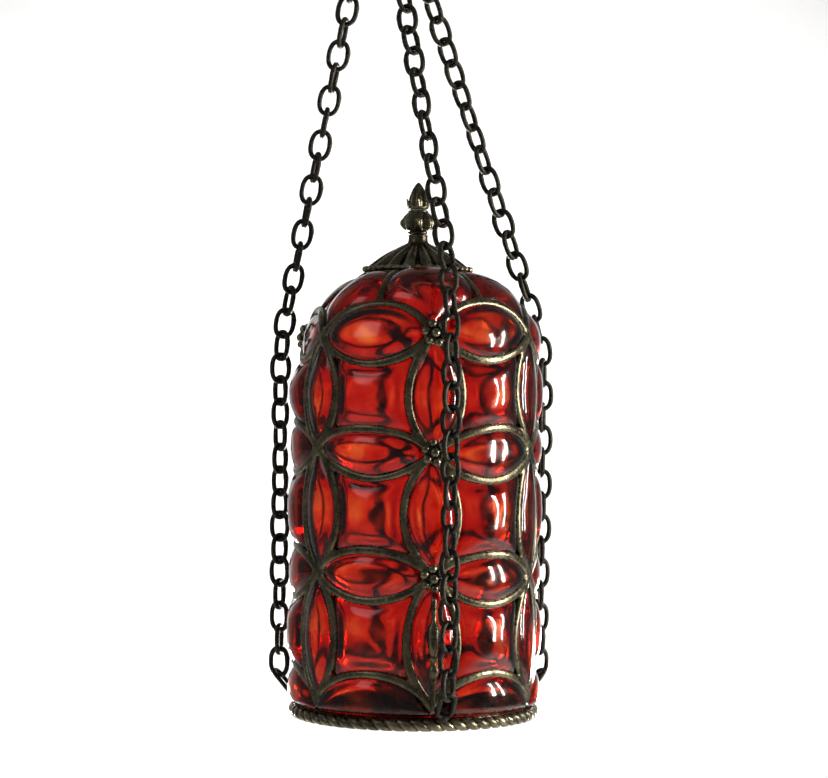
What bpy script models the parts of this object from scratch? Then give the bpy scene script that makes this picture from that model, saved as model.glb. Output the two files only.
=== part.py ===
"""A hanging lantern of ruby glass blown into a bronze wire cage, carried on three iron chains.

Metres, +Z up. The origin is where the ceiling hook bears, inside the top of the hanging ring. The
lantern itself is drawn standing on its own base, in a frame whose empty holds it at its place below
the ring: z = 0 there is the underside of the base, and azimuths are counted from the front (-Y)
towards +X.
"""

import math

import bmesh
import bpy
from mathutils import Vector

MM = 0.001
GAP = 0.3 * MM

# The lantern's body.
BASE_TO_HOOK = 435.7 * MM
BODY_X = 16.5 * MM
COLUMNS = 6
COLUMN_STEP = 360 / COLUMNS
FRONT_COLUMN = 8.0
CHAIN_COLUMNS = {"front": 0, "right": 2, "left": 4}

# The glass: a tube with an elliptical shoulder, standing at its wire lines this far from the axis.
GLASS_RADIUS = 57.9 * MM
GLASS_WALL = 2.6 * MM
GLASS_FOOT = 6.5 * MM
SHOULDER_START = 178 * MM
SHOULDER_RISE = 41 * MM
MOUTH_RADIUS = 24 * MM
SHOULDER_LENGTH = 59.2 * MM
BULGE_CELL = (3.6 * MM, 5.6 * MM)
BULGE_EYE = (2.0 * MM, 3.4 * MM)
BULGE_PETAL = (2.0 * MM, 3.2 * MM)
BULGE_SHOULDER = (3.6 * MM, 7.0 * MM)

# The cage: nodes on four levels, joined by vertical petals and horizontal eyes.
LEVELS = (13 * MM, 73 * MM, 133 * MM, 187.7 * MM)
PETAL_HALF_WIDTH = 12.5 * MM
EYE_UP = (13.6 * MM, 12.3 * MM, 12.3 * MM, 16 * MM)
EYE_DOWN = (0, 12.3 * MM, 12.3 * MM, 11 * MM)
ARC_STEPS = 4
PETAL_LIFT = 2.7 * MM
EYE_LIFT = 2.4 * MM
WIRE_HALF_WIDTH = 2.3 * MM
WIRE_HALF_DEPTH = 1.8 * MM
BOSS_RADIUS = 5.3 * MM
BOSS_SIDES = 8
ROSETTE_LIFT = 4.5 * MM
DROP_RADIUS = 65.3 * MM

# The base.
ROPE_OUTER = 62.5 * MM
ROPE_INNER = 56.6 * MM
ROPE_HEIGHT = 6 * MM
ROPE_STRANDS = 40
GALLERY_INNER = 47 * MM

# The cap and its finial.
CAP_FLUTES = 16
BEADS = 28
BEAD_RADIUS = 1.3 * MM
BEAD_RING_RADIUS = 27.7 * MM
BEAD_RING_HEIGHT = 222.6 * MM
STUD_RADIUS = 1.8 * MM
STUD_TOP = 246 * MM
BRIDGE_MIDDLE = 222.2 * MM
BRIDGE_HALF_LENGTH = 20.6 * MM

# The chains: links of wire, drawn as three-sided bar.
LINK_HALF_LENGTH = 6.85 * MM
LINK_HALF_WIDTH = 4.8 * MM
LINK_BAR = 1.35 * MM
LINK_HOLD = 0.85 * MM
LINK_PITCH = 11.6 * MM
JOINT_PITCH = 10.0 * MM
CHAIN_RADIUS = 72.8 * MM
CHAIN_AZIMUTH = {"front": 13.0, "right": 117.0, "left": -107.5}
CHAIN_BEND = 186 * MM
FRONT_CHAIN_REST = (63 * MM, 224 * MM)
LUG_WIRE = 1.1 * MM
LUG_FOOT = (65.8 * MM, 10.0 * MM)
LUG_HEAD = (71.9 * MM, 16.7 * MM)

# The crown that gathers the chains, with its swivel eye and the ring above it.
HOOK_RADIUS = 15 * MM
CROWN_UNDERSIDE = 390 * MM
HOOK_RING = 3.5 * MM
HOOK_DROP = HOOK_RING + LUG_WIRE + 0.4 * MM
EYE_RING = 5.5 * MM
EYE_WIRE = 1.6 * MM
EYE_CENTRE = 411.6 * MM
RING_RADIUS = 12 * MM
RING_WIRE = 1.75 * MM
RING_CENTRE = BASE_TO_HOOK - RING_RADIUS + RING_WIRE


def clear_scene():
    for old in list(bpy.data.objects):
        bpy.data.objects.remove(old, do_unlink=True)


def make_material(name, colour, roughness, metallic=0.0, transmission=0.0):
    material = bpy.data.materials.new(name)
    material.use_nodes = True
    shader = material.node_tree.nodes["Principled BSDF"]
    shader.inputs["Base Color"].default_value = (*colour, 1)
    shader.inputs["Roughness"].default_value = roughness
    shader.inputs["Metallic"].default_value = metallic
    shader.inputs["Transmission Weight"].default_value = transmission
    material.diffuse_color = (*colour, 1)
    return material


def make_frame(name, location):
    empty = bpy.data.objects.new(name, None)
    empty.location = location
    bpy.context.scene.collection.objects.link(empty)
    return empty


def mesh_from(bm, name):
    bmesh.ops.remove_doubles(bm, verts=bm.verts, dist=1e-7)
    bmesh.ops.recalc_face_normals(bm, faces=bm.faces)
    mesh = bpy.data.meshes.new(name)
    bm.to_mesh(mesh)
    bm.free()
    return mesh


def place(name, mesh, material, frame, azimuth=0.0, at=(0, 0, 0)):
    """One named piece under a frame, turned about the frame's upright axis."""
    if not mesh.materials:
        mesh.materials.append(material)
    mesh.shade_smooth()
    mesh.set_sharp_from_angle(angle=math.radians(35))
    piece = bpy.data.objects.new(name, mesh)
    piece.parent = frame
    piece.location = at
    piece.rotation_euler.z = math.radians(azimuth)
    bpy.context.scene.collection.objects.link(piece)
    return piece


def polar(azimuth, radius, z):
    angle = math.radians(azimuth)
    return Vector((radius * math.sin(angle), -radius * math.cos(angle), z))


def in_mm(profile):
    """(radius, height) pairs in millimetres, in metres."""
    return [(radius * MM, height * MM) for radius, height in profile]


def combine(name, operation, first, second):
    """One closed mesh: the second bmesh's closed shapes joined to the first's, or cut from them."""
    pieces = []
    for bm in (first, second):
        piece = bpy.data.objects.new(name + "_operand", mesh_from(bm, name))
        bpy.context.scene.collection.objects.link(piece)
        pieces.append(piece)
    boolean = pieces[0].modifiers.new(name, "BOOLEAN")
    boolean.operation = operation
    boolean.solver = "EXACT"
    boolean.use_self = operation == "UNION"
    boolean.object = pieces[1]
    graph = bpy.context.evaluated_depsgraph_get()
    merged = bmesh.new()
    merged.from_object(pieces[0], graph)
    for piece in pieces:
        bpy.data.objects.remove(piece, do_unlink=True)
    flat = math.radians(0.6)
    bmesh.ops.dissolve_limit(merged, angle_limit=flat, verts=merged.verts, edges=merged.edges)
    bmesh.ops.triangulate(merged, faces=merged.faces)
    return mesh_from(merged, name)


def add_loops(bm, loops, ring=False, caps=True):
    """Quads between neighbouring loops of points; a loop of one point is a pole."""
    made = [[bm.verts.new(point) for point in loop] for loop in loops]
    pairs = list(zip(made, made[1:] + made[:1]))
    for low, high in pairs if ring else pairs[:-1]:
        count = max(len(low), len(high))
        for n in range(count):
            corners = [
                low[n % len(low)],
                low[(n + 1) % len(low)],
                high[(n + 1) % len(high)],
                high[n % len(high)],
            ]
            bm.faces.new(list(dict.fromkeys(corners)))
    if caps and not ring:
        for loop in (made[0], made[-1]):
            if len(loop) > 2:
                bm.faces.new(loop)


def add_lathe(bm, profile, sides, ring=False, flute=None, centre=(0, 0, 0)):
    """Turns (radius, height) points about the upright axis through centre; ring closes the profile.

    flute(azimuth in radians, height) scales the radius."""
    centre = Vector(centre)
    loops = []
    for radius, height in profile:
        if radius == 0:
            loops.append([centre + Vector((0, 0, height))])
            continue
        loop = []
        for n in range(sides):
            angle = 2 * math.pi * n / sides
            wide = radius * (flute(angle, height) if flute else 1)
            loop.append(centre + Vector((wide * math.cos(angle), wide * math.sin(angle), height)))
        loops.append(loop)
    add_loops(bm, loops, ring)


def lathe(name, profile, sides, ring=False, flute=None):
    bm = bmesh.new()
    add_lathe(bm, profile, sides, ring, flute)
    return mesh_from(bm, name)


def add_bar(bm, points, outs, half_width, half_depth, closed=False, sides=4, turn=0.0, ends=None):
    """A bar of elliptical section, drawn with so many sides, along points whose outward ways are outs.

    ends holds a point before the first and one after the last, which only turn the end sections."""
    loops = []
    if closed:
        ends = (points[-1], points[0])
    row = [ends[0] if ends else points[0], *points, ends[1] if ends else points[-1]]
    for before, point, after, out in zip(row, row[1:], row[2:], outs):
        along = (after - before).normalized()
        across = along.cross(out).normalized()
        way_out = across.cross(along).normalized()
        if closed:
            turning = (after - point).normalized().dot((point - before).normalized())
            way_out /= math.sqrt((1 + turning) / 2)
        loop = []
        for side in range(sides):
            angle = 2 * math.pi * side / sides + turn
            offset = across * (half_width * math.cos(angle)) + way_out * (half_depth * math.sin(angle))
            loop.append(point + offset)
        loops.append(loop)
    add_loops(bm, loops, ring=closed)


def add_torus(bm, centre, normal, radius, wire, steps, sides):
    centre, normal = Vector(centre), Vector(normal)
    start = normal.orthogonal().normalized()
    side = normal.cross(start)
    points = []
    for n in range(steps):
        angle = 2 * math.pi * (n + 0.5) / steps
        points.append(centre + radius * (math.cos(angle) * start + math.sin(angle) * side))
    outs = [(point - centre).normalized() for point in points]
    add_bar(bm, points, outs, wire, wire, closed=True, sides=sides)


# The glass's surface, and the cage's lines on it, in (azimuth, way up the profile).


def glass_point(azimuth, way, lift=0.0):
    """A point on the glass, lifted off it: the tube up to the shoulder, then the shoulder's ellipse."""
    if way <= SHOULDER_START:
        return polar(azimuth, GLASS_RADIUS + lift, way)
    angle = (way - SHOULDER_START) / SHOULDER_LENGTH * math.pi / 2
    across = GLASS_RADIUS - MOUTH_RADIUS
    normal = Vector((SHOULDER_RISE * math.cos(angle), across * math.sin(angle))).normalized()
    radius = MOUTH_RADIUS + across * math.cos(angle) + lift * normal.x
    return polar(azimuth, radius, SHOULDER_START + SHOULDER_RISE * math.sin(angle) + lift * normal.y)


def glass_out(azimuth, way):
    return (glass_point(azimuth, way, 1.0) - glass_point(azimuth, way)).normalized()


def bow(part, half_chord, rise):
    """How far a round arc of this rise stands from its chord, at a share of the chord from 0 to 1."""
    if not rise:
        return 0.0
    radius = (half_chord**2 + rise**2) / (2 * rise)
    along = half_chord * (2 * part - 1)
    return math.sqrt(radius**2 - along**2) - (radius - rise)


def degrees_round(length):
    return math.degrees(length / GLASS_RADIUS)


def petal_arc(column, level, side):
    """A petal's edge, from this level's node up to the next one's: side -1 is the left edge."""
    low, high = LEVELS[level], LEVELS[level + 1]
    parts = [n / ARC_STEPS for n in range(ARC_STEPS + 1)]
    return [
        (
            column * COLUMN_STEP + side * degrees_round(bow(part, (high - low) / 2, PETAL_HALF_WIDTH)),
            low + part * (high - low),
        )
        for part in parts
    ]


def eye_arc(column, level, side):
    """An eye's edge, from this column's node to the next one's: side 1 is the upper edge."""
    rise = EYE_UP[level] if side > 0 else EYE_DOWN[level]
    half_chord = math.radians(COLUMN_STEP / 2) * GLASS_RADIUS
    parts = [n / ARC_STEPS for n in range(ARC_STEPS + 1)]
    return [
        ((column + part) * COLUMN_STEP, LEVELS[level] + side * bow(part, half_chord, rise))
        for part in parts
    ]


def add_bulge(bm, outline, centre, heights, shrink=0.6):
    """A patch of glass inside an outline, blown out in a ring and again at its centre."""
    ring = [
        (centre[0] + shrink * (azimuth - centre[0]), centre[1] + shrink * (way - centre[1]))
        for azimuth, way in outline
    ]
    loops = [
        [glass_point(*spot) for spot in outline],
        [glass_point(*spot, heights[0]) for spot in ring],
        [glass_point(*centre, heights[1])],
    ]
    add_loops(bm, loops, caps=False)


def add_glass_column(bm, column):
    """Everything between this column and the next: petals, cells, eyes and a share of the shoulder."""
    azimuth = column * COLUMN_STEP
    middle = azimuth + COLUMN_STEP / 2
    for level in range(len(LEVELS) - 1):
        low, high = LEVELS[level], LEVELS[level + 1]
        petal = petal_arc(column, level, 1) + petal_arc(column, level, -1)[-2:0:-1]
        add_bulge(bm, petal, (azimuth, (low + high) / 2), BULGE_PETAL)
        cell = (
            eye_arc(column, level, 1)
            + petal_arc(column + 1, level, -1)[1:]
            + eye_arc(column, level + 1, -1)[-2::-1]
            + petal_arc(column, level, 1)[-2:0:-1]
        )
        add_bulge(bm, cell, (middle, (low + high) / 2), BULGE_CELL, 0.56)
        eye = eye_arc(column, level + 1, 1) + eye_arc(column, level + 1, -1)[-2:0:-1]
        centre = LEVELS[level + 1] + (EYE_UP[level + 1] - EYE_DOWN[level + 1]) / 2
        add_bulge(bm, eye, (middle, centre), BULGE_EYE)
    arch = eye_arc(column, 0, 1)
    foot = [(spot[0], GLASS_FOOT) for spot in reversed(arch)]
    add_bulge(bm, arch + foot, (middle, LEVELS[0]), BULGE_EYE, 0.5)

    mouth = SHOULDER_START + SHOULDER_LENGTH
    half = ARC_STEPS // 2
    right = eye_arc(column, -1, 1)[: half + 1]
    left = eye_arc(column - 1, -1, 1)[half:-1]
    valley = [(right[-1][1] * (1 - part) + mouth * part) for part in (0.5,)]
    rim = [(azimuth + COLUMN_STEP * part, mouth) for part in (0.5, 0.25, 0, -0.25, -0.5)]
    outline = (
        right
        + [(right[-1][0], way) for way in valley]
        + rim
        + [(left[0][0], way) for way in reversed(valley)]
        + left
    )
    add_bulge(bm, outline, (azimuth, 213 * MM), BULGE_SHOULDER, 0.62)


def glass_mesh():
    """A shell that is open below and at its mouth."""
    bm = bmesh.new()
    for column in range(COLUMNS):
        add_glass_column(bm, column)
    mouth = SHOULDER_START + SHOULDER_LENGTH
    ways = [GLASS_FOOT, SHOULDER_START] + [SHOULDER_START + SHOULDER_LENGTH * n / 4 for n in (1, 2, 3, 4)]
    sides = COLUMNS * ARC_STEPS
    spots = [(way, 0.0) for way in (GLASS_FOOT,)] + [(way, -GLASS_WALL) for way in ways] + [(mouth, 0.0)]
    loops = [
        [glass_point(n * 360 / sides, way, lift) for n in range(sides)]
        for way, lift in spots
    ]
    add_loops(bm, loops, caps=False)
    return mesh_from(bm, "glass")


# The cage.


def add_wire(bm, spots, lift, trims, mirror_end=False):
    """A bar over these spots, with this much trimmed off its first and last runs."""
    points = [glass_point(*spot, lift) for spot in spots]
    outs = [glass_out(*spot) for spot in spots]
    points[0] += (points[1] - points[0]).normalized() * trims[0]
    points[-1] += (points[-2] - points[-1]).normalized() * trims[1]
    ends = None
    if mirror_end:
        (azimuth, _), (before, way) = spots[-1], spots[-2]
        ends = (points[0], glass_point(2 * azimuth - before, way, lift))
    ridge_inwards = -math.pi / 2
    section = (WIRE_HALF_WIDTH, WIRE_HALF_DEPTH)
    add_bar(bm, points, outs, *section, sides=3, turn=ridge_inwards, ends=ends)


def half_eye(level, side):
    """The half of an eye's edge on the right of column 0, ending just short of the middle."""
    spots = eye_arc(0, level, side)[: ARC_STEPS // 2 + 1]
    azimuth, way = spots[-1]
    spots[-1] = (azimuth - degrees_round(GAP / 2), way)
    return spots


def stave_mesh():
    """A sixth of the cage: one column's petals, and the halves of the eyes on either side of it."""
    wires = bmesh.new()
    bosses = bmesh.new()
    for level, way in enumerate(LEVELS):
        if level < len(LEVELS) - 1:
            for side in (-1, 1):
                add_wire(wires, petal_arc(0, level, side), PETAL_LIFT, (1.1 * MM, 1.1 * MM))
        for side in (1, -1) if level else (1,):
            spots = half_eye(level, side)
            mirrored = [(-azimuth, height) for azimuth, height in spots]
            for half in (spots, mirrored):
                add_wire(wires, half, EYE_LIFT, (1.9 * MM, 0), mirror_end=True)
        add_boss(bosses, way)
    return combine("cage_stave", "UNION", wires, bosses)


def add_boss(bm, way):
    """The blob of solder on a node, flat against the glass."""
    out = glass_out(0, way)
    up = Vector((1, 0, 0)).cross(out)
    centre = glass_point(0, way, PETAL_LIFT)
    loops = []
    for depth, wide in ((-1.4, 0.62), (0.1, 1), (1.5, 0.55)):
        heart = centre + out * depth * MM
        loop = []
        for n in range(BOSS_SIDES):
            angle = 2 * math.pi * (n + 0.5) / BOSS_SIDES
            offset = Vector((1, 0, 0)) * math.cos(angle) - up * math.sin(angle)
            loop.append(heart + offset * BOSS_RADIUS * wide)
        loops.append(loop)
    add_loops(bm, loops)


def rosette_mesh():
    """Six small knobs round a seventh, lying in the XZ plane and facing -Y."""
    bm = bmesh.new()
    knobs = 6
    rings = [(-3.0, 0, 0), (-2.5, 2.2, 0), (-1.6, 2.9, 0), (-2.8, 5.0, 0.4)]
    rings += [(-1.4, 7.3, 1.5), (0, 7.0, 1.4)]
    loops = []
    for depth, radius, scallop in rings:
        if not radius:
            loops.append([Vector((0, depth * MM, 0))])
            continue
        loop = []
        for n in range(2 * knobs):
            wide = radius - (scallop if n % 2 else 0)
            angle = math.pi * n / knobs
            loop.append(Vector((wide * math.cos(angle), depth, wide * math.sin(angle))) * MM)
        loops.append(loop)
    add_loops(bm, loops)
    return mesh_from(bm, "rosette")


def drop_mesh():
    """A turned drop: stem, leaf bud, collar, ball and a slim rod down to the base."""
    profile = [(0, 64), (1.4, 64), (1.2, 54), (2.9, 49), (3.1, 44), (1.6, 37), (2.5, 35.5), (1.4, 33)]
    profile += [(2.9, 29), (1.3, 26), (1.9, 24), (1.2, 10), (0, 9.5)]
    return lathe("drop", in_mm(profile), 8)


# The base.


def rope_mesh():
    """A flat ring twisted like rope: each strand leans across the section as it goes round."""
    bm = bmesh.new()
    middle = (ROPE_OUTER + ROPE_INNER) / 2
    half = (ROPE_OUTER - ROPE_INNER) / 2
    steps = 2 * ROPE_STRANDS
    section = ((0.7, -1.0), (1.0, 0.0), (0.7, 1.0), (-1.0, 1.0), (-1.0, -1.0))
    loops = []
    for n in range(steps):
        loop = []
        for across, up in section:
            lean = 0.8 * up * 360 / steps if across > 0 else 0
            sunk = 0.7 * MM if n % 2 and across > 0 else 0
            radius = middle + across * half - sunk
            loop.append(polar(n * 360 / steps + lean, radius, ROPE_HEIGHT / 2 * (1 + up)))
        loops.append(loop)
    add_loops(bm, loops, ring=True)
    return mesh_from(bm, "rope")


def gallery_mesh():
    """The flat ring inside the rope, with a lip that locates the glass's foot."""
    profile = [(GALLERY_INNER, 0), (56.2 * MM, 0), (56.2 * MM, 5.7 * MM)]
    profile += [(54.2 * MM, 5.7 * MM), (54.2 * MM, 8 * MM), (53.0 * MM, 8 * MM), (53.0 * MM, 1.8 * MM)]
    profile += [(GALLERY_INNER, 1.8 * MM)]
    return lathe("gallery", profile, 32, ring=True)


def tray_mesh():
    """The pan that plugs the base, with a rim that grips the gallery and six air holes."""
    pan = bmesh.new()
    profile = [(0, 0.4), (46.6, 0.4), (46.6, 5.5), (45.4, 5.5), (45.4, 1.9), (0, 1.9)]
    add_lathe(pan, in_mm(profile), 32)
    holes = bmesh.new()
    hole = in_mm([(0, -5), (4, -5), (4, 5), (0, 5)])
    for n in range(6):
        add_lathe(holes, hole, 8, centre=polar(60 * n + 30, 33 * MM, 0))
    return combine("tray", "DIFFERENCE", pan, holes)


# The top.


def cap_mesh():
    """A fluted dome, hollow below, with a hole for the stud."""
    outer = [(26, 221.6), (25.6, 222.8), (22.4, 224), (17.8, 228), (12.5, 232), (8.2, 234.4)]
    outer += [(4.2, 236), (4.2, 240)]
    inner = [(2.4, 240), (2.4, 234), (11.2, 230.5), (16.4, 226.6), (22.8, 221.6)]

    def flute(angle, height):
        deep = 0.05 if 223 * MM < height < 235 * MM else 0
        return 1 + deep * math.cos(CAP_FLUTES * angle)

    return lathe("cap", in_mm(outer + inner), 2 * CAP_FLUTES, ring=True, flute=flute)


def bead_ring_mesh():
    """A string of small beads round the cap's rim."""
    bm = bmesh.new()
    loops = []
    for n in range(2 * BEADS):
        swell = BEAD_RADIUS * (0.55 if n % 2 else 1)
        loop = []
        for side in range(4):
            angle = math.pi * side / 2
            radius = BEAD_RING_RADIUS + swell * math.cos(angle)
            height = BEAD_RING_HEIGHT + swell * math.sin(angle)
            loop.append(polar(180 * n / BEADS, radius, height))
        loops.append(loop)
    add_loops(bm, loops, ring=True)
    return mesh_from(bm, "bead_ring")


def collar_mesh():
    """The ring on the glass's mouth, and the six straps from it down to the tops of the eyes."""
    ring = bmesh.new()
    profile = [(19.3, 220.1), (26.6, 220.1), (26.6, 221.3), (19.3, 221.3)]
    add_lathe(ring, in_mm(profile), 24, ring=True)
    straps = bmesh.new()
    spots = ((234.5, 1.3), (227, 2.0), (220.5, 2.2), (213, 2.2), (208, 2.2))
    for n in range(COLUMNS):
        azimuth = COLUMN_STEP * (n + 0.5)
        points = [glass_point(azimuth, way * MM, lift * MM) for way, lift in spots]
        outs = [glass_out(azimuth, way * MM) for way, lift in spots]
        add_bar(straps, points, outs, 1.7 * MM, 0.9 * MM)
    return combine("collar", "UNION", ring, straps)


def bridge_mesh():
    """A bar that lies across the collar and carries the stud for the finial."""
    bar = bmesh.new()
    points = [Vector((side * BRIDGE_HALF_LENGTH, 0, BRIDGE_MIDDLE)) for side in (-1, 1)]
    add_bar(bar, points, [Vector((0, 0, 1))] * 2, 3.0 * MM, 0.85 * MM, turn=math.pi / 4)
    stud = bmesh.new()
    foot = BRIDGE_MIDDLE - 0.9 * MM
    add_lathe(stud, [(0, foot), (STUD_RADIUS, foot), (STUD_RADIUS, STUD_TOP), (0, STUD_TOP)], 12)
    return combine("bridge", "UNION", bar, stud)


def lobes(count, depth, low, high):
    """Swells a turned shape into so many lobes between two heights."""

    def swell(angle, height):
        inside = low * MM < height < high * MM
        return 1 + (depth * math.cos(count * angle) if inside else 0)

    return swell


def finial_bud_mesh():
    profile = [(0, 247.5), (2.3, 247.5), (2.3, 240.3), (4.2, 240.3), (5.2, 241.3), (8.0, 243), (8.7, 245.8)]
    profile += [(7.4, 249), (5.0, 251), (4.7, 252.3), (0, 252.3)]
    return lathe("finial_bud", in_mm(profile), 16, flute=lobes(8, 0.06, 242, 250))


def finial_spear_mesh():
    profile = [(0, 252.6), (4.2, 252.6), (6.1, 255.2), (5.9, 257.5), (4.4, 261), (2.2, 265), (0, 266.4)]
    return lathe("finial_spear", in_mm(profile), 16, flute=lobes(8, 0.07, 253, 263))


# The chains.


def link_points(centre, along, across, half_length):
    """The six corners of a link's centre line."""
    corners = ((0.45, 1), (1, 0), (0.45, -1), (-0.45, -1), (-1, 0), (-0.45, 1))
    return [
        centre + across * (side * LINK_HALF_WIDTH) + along * (up * half_length)
        for side, up in corners
    ]


def spot_on(path, distance):
    """The point at this distance along a path of straight runs, and the way it runs there."""
    for start, end in zip(path, path[1:]):
        length = (end - start).length
        if distance <= length or end is path[-1]:
            along = (end - start) / length
            return start + along * distance, along
        distance -= length


def chain_mesh(name, path, first, last, turned, azimuth):
    """Links from first to short of last along a path. Every other one shows its edge to the side."""
    length = sum((end - start).length for start, end in zip(path, path[1:])) - first - last
    gaps = round(length / LINK_PITCH)
    sideways = Vector((math.cos(math.radians(azimuth)), math.sin(math.radians(azimuth)), 0))
    halves = (bmesh.new(), bmesh.new())
    for n in range(gaps + 1):
        centre, along = spot_on(path, first + length * n / gaps)
        across = sideways - along * sideways.dot(along)
        across.normalize()
        if (n + turned) % 2:
            across = along.cross(across)
        points = link_points(centre, along, across, length / gaps / 2 + LINK_HOLD)
        outs = [(point - centre).normalized() for point in points]
        add_bar(halves[n % 2], points, outs, LINK_BAR, LINK_BAR, closed=True, sides=3)
    return combine(name, "UNION", *halves), (gaps + 1 + turned) % 2


def lug_mesh():
    """A narrow upright loop that leans outwards from the base ring, in the plane of its azimuth 0."""
    bm = bmesh.new()
    foot, head = (polar(0, *end) for end in (LUG_FOOT, LUG_HEAD))
    along = (head - foot).normalized()
    side = Vector((1, 0, 0)).cross(along)
    points = []
    for n in range(10):
        angle = 2 * math.pi * (n + 0.5) / 10
        end = head if math.sin(angle) > 0 else foot
        points.append(end + HOOK_RING * (math.cos(angle) * side + math.sin(angle) * along))
    middle = (foot + head) / 2
    outs = [(point - middle).normalized() for point in points]
    add_bar(bm, points, outs, LUG_WIRE, LUG_WIRE, closed=True, sides=5)
    return mesh_from(bm, "lug")


def hook_mesh():
    """A screw eye under the crown, in the XZ plane, hanging from z = 0."""
    bm = bmesh.new()
    add_torus(bm, (0, 0, -HOOK_DROP), (0, 1, 0), HOOK_RING, LUG_WIRE, 10, 5)
    plate = bmesh.new()
    add_lathe(plate, [(0, 0), (2.4 * MM, 0), (2.4 * MM, -1.2 * MM), (0, -1.2 * MM)], 8)
    return combine("hook", "UNION", bm, plate)


def chain_path(name, lantern_to_crown):
    """The lower run up the cage to the bend, and the upper run from there to the crown."""
    azimuth = CHAIN_AZIMUTH[name]
    start = polar(azimuth, *LUG_HEAD)
    bend = polar(azimuth, CHAIN_RADIUS, CHAIN_BEND)
    top = lantern_to_crown + polar(azimuth, HOOK_RADIUS, CROWN_UNDERSIDE - GAP - HOOK_DROP)
    upper = [bend, top]
    if name == "front":
        upper.insert(1, polar(azimuth, *FRONT_CHAIN_REST))
    return [start, bend], upper


# The crown and what it hangs from.


def crown_mesh():
    """A shallow turned dome with a flat underside and a hole for the swivel."""
    profile = [(2.6, 390), (20, 390), (20.6, 391.2), (20, 392.4), (18.4, 392.8), (15, 397), (9, 400)]
    profile += [(5, 401), (4.4, 403), (2.6, 403)]
    return lathe("crown", in_mm(profile), 16, ring=True)


def crown_drop_mesh():
    """The knob below the crown that holds it on the swivel's shank."""
    profile = [(0, 388), (2.5, 388), (2.5, 389.7), (4.6, 389.7), (4.6, 388), (3.0, 386.4), (5.4, 381)]
    profile += [(4.6, 377), (2.4, 373.6), (3.4, 371.4), (2.2, 368.5), (2.6, 366), (1.2, 361), (0, 357.5)]
    return lathe("crown_drop", in_mm(profile), 12)


def swivel_mesh():
    """An eye on a shank, with a collar that sits on the crown."""
    eye = bmesh.new()
    add_torus(eye, (0, 0, EYE_CENTRE), (1, 0, 0), EYE_RING, EYE_WIRE, 14, 6)
    shank = bmesh.new()
    profile = [(0, 388.4), (2.2, 388.4), (2.2, 403.3), (4.2, 403.3), (4.2, 405), (2.0, 405.6), (0, 405.6)]
    add_lathe(shank, in_mm(profile), 12)
    return combine("swivel", "UNION", eye, shank)


def ring_mesh():
    bm = bmesh.new()
    add_torus(bm, (0, 0, RING_CENTRE), (0, 1, 0), RING_RADIUS, RING_WIRE, 20, 6)
    return mesh_from(bm, "ring")


# The light.


def cup_mesh():
    profile = [(0, 2.3), (20.8, 2.3), (20.8, 12), (21.8, 12), (21.8, 12.8), (19.8, 12.8)]
    profile += [(19.8, 3.5), (0, 3.5)]
    return lathe("cup", in_mm(profile), 24)


def tealight_case_mesh():
    profile = [(0, 3.9), (19.0, 3.9), (19.2, 19.5), (18.8, 19.5), (18.6, 4.4), (0, 4.4)]
    return lathe("case", in_mm(profile), 24)


def wax_mesh():
    profile = [(0, 4.8), (18.1, 4.8), (18.3, 17.5), (6, 17.0), (1.1, 16.4), (1.1, 12), (0, 12)]
    return lathe("wax", in_mm(profile), 24)


def wick_mesh():
    profile = [(0, 12.4), (0.7, 12.4), (0.7, 24), (0.4, 25), (0, 25)]
    return lathe("wick", in_mm(profile), 6)


def build_body(frame, bronze, glass):
    place("glass_body", glass_mesh(), glass, frame, FRONT_COLUMN)
    place("base_ring", rope_mesh(), bronze, frame)
    place("base_gallery", gallery_mesh(), bronze, frame)
    stave, rosette, drop = stave_mesh(), rosette_mesh(), drop_mesh()
    for column in range(COLUMNS):
        azimuth = FRONT_COLUMN + column * COLUMN_STEP
        place(f"cage_stave_{column + 1}", stave, bronze, frame, azimuth)
    for name, column in CHAIN_COLUMNS.items():
        azimuth = FRONT_COLUMN + column * COLUMN_STEP
        place(f"drop_{name}", drop, bronze, frame, azimuth, polar(azimuth, DROP_RADIUS, 0))
        for row, level in (("low", 1), ("middle", 2), ("top", 3)):
            seat = glass_point(azimuth, LEVELS[level], ROSETTE_LIFT)
            piece = place(f"rosette_{name}_{row}", rosette, bronze, frame, azimuth, seat)
            out = glass_out(azimuth, LEVELS[level])
            piece.rotation_euler.x = -math.asin(out.z)


def build_top(frame, bronze):
    place("top_collar", collar_mesh(), bronze, frame, FRONT_COLUMN)
    place("top_bridge", bridge_mesh(), bronze, frame, FRONT_COLUMN)
    place("cap", cap_mesh(), bronze, frame)
    place("cap_beads", bead_ring_mesh(), bronze, frame)
    place("finial_bud", finial_bud_mesh(), bronze, frame)
    place("finial_spear", finial_spear_mesh(), bronze, frame)


def build_light(frame, bronze, tin, wax, cotton):
    place("candle_tray", tray_mesh(), bronze, frame)
    place("candle_cup", cup_mesh(), bronze, frame)
    place("tealight_case", tealight_case_mesh(), tin, frame)
    place("tealight_wax", wax_mesh(), wax, frame)
    place("tealight_wick", wick_mesh(), cotton, frame)


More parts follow.
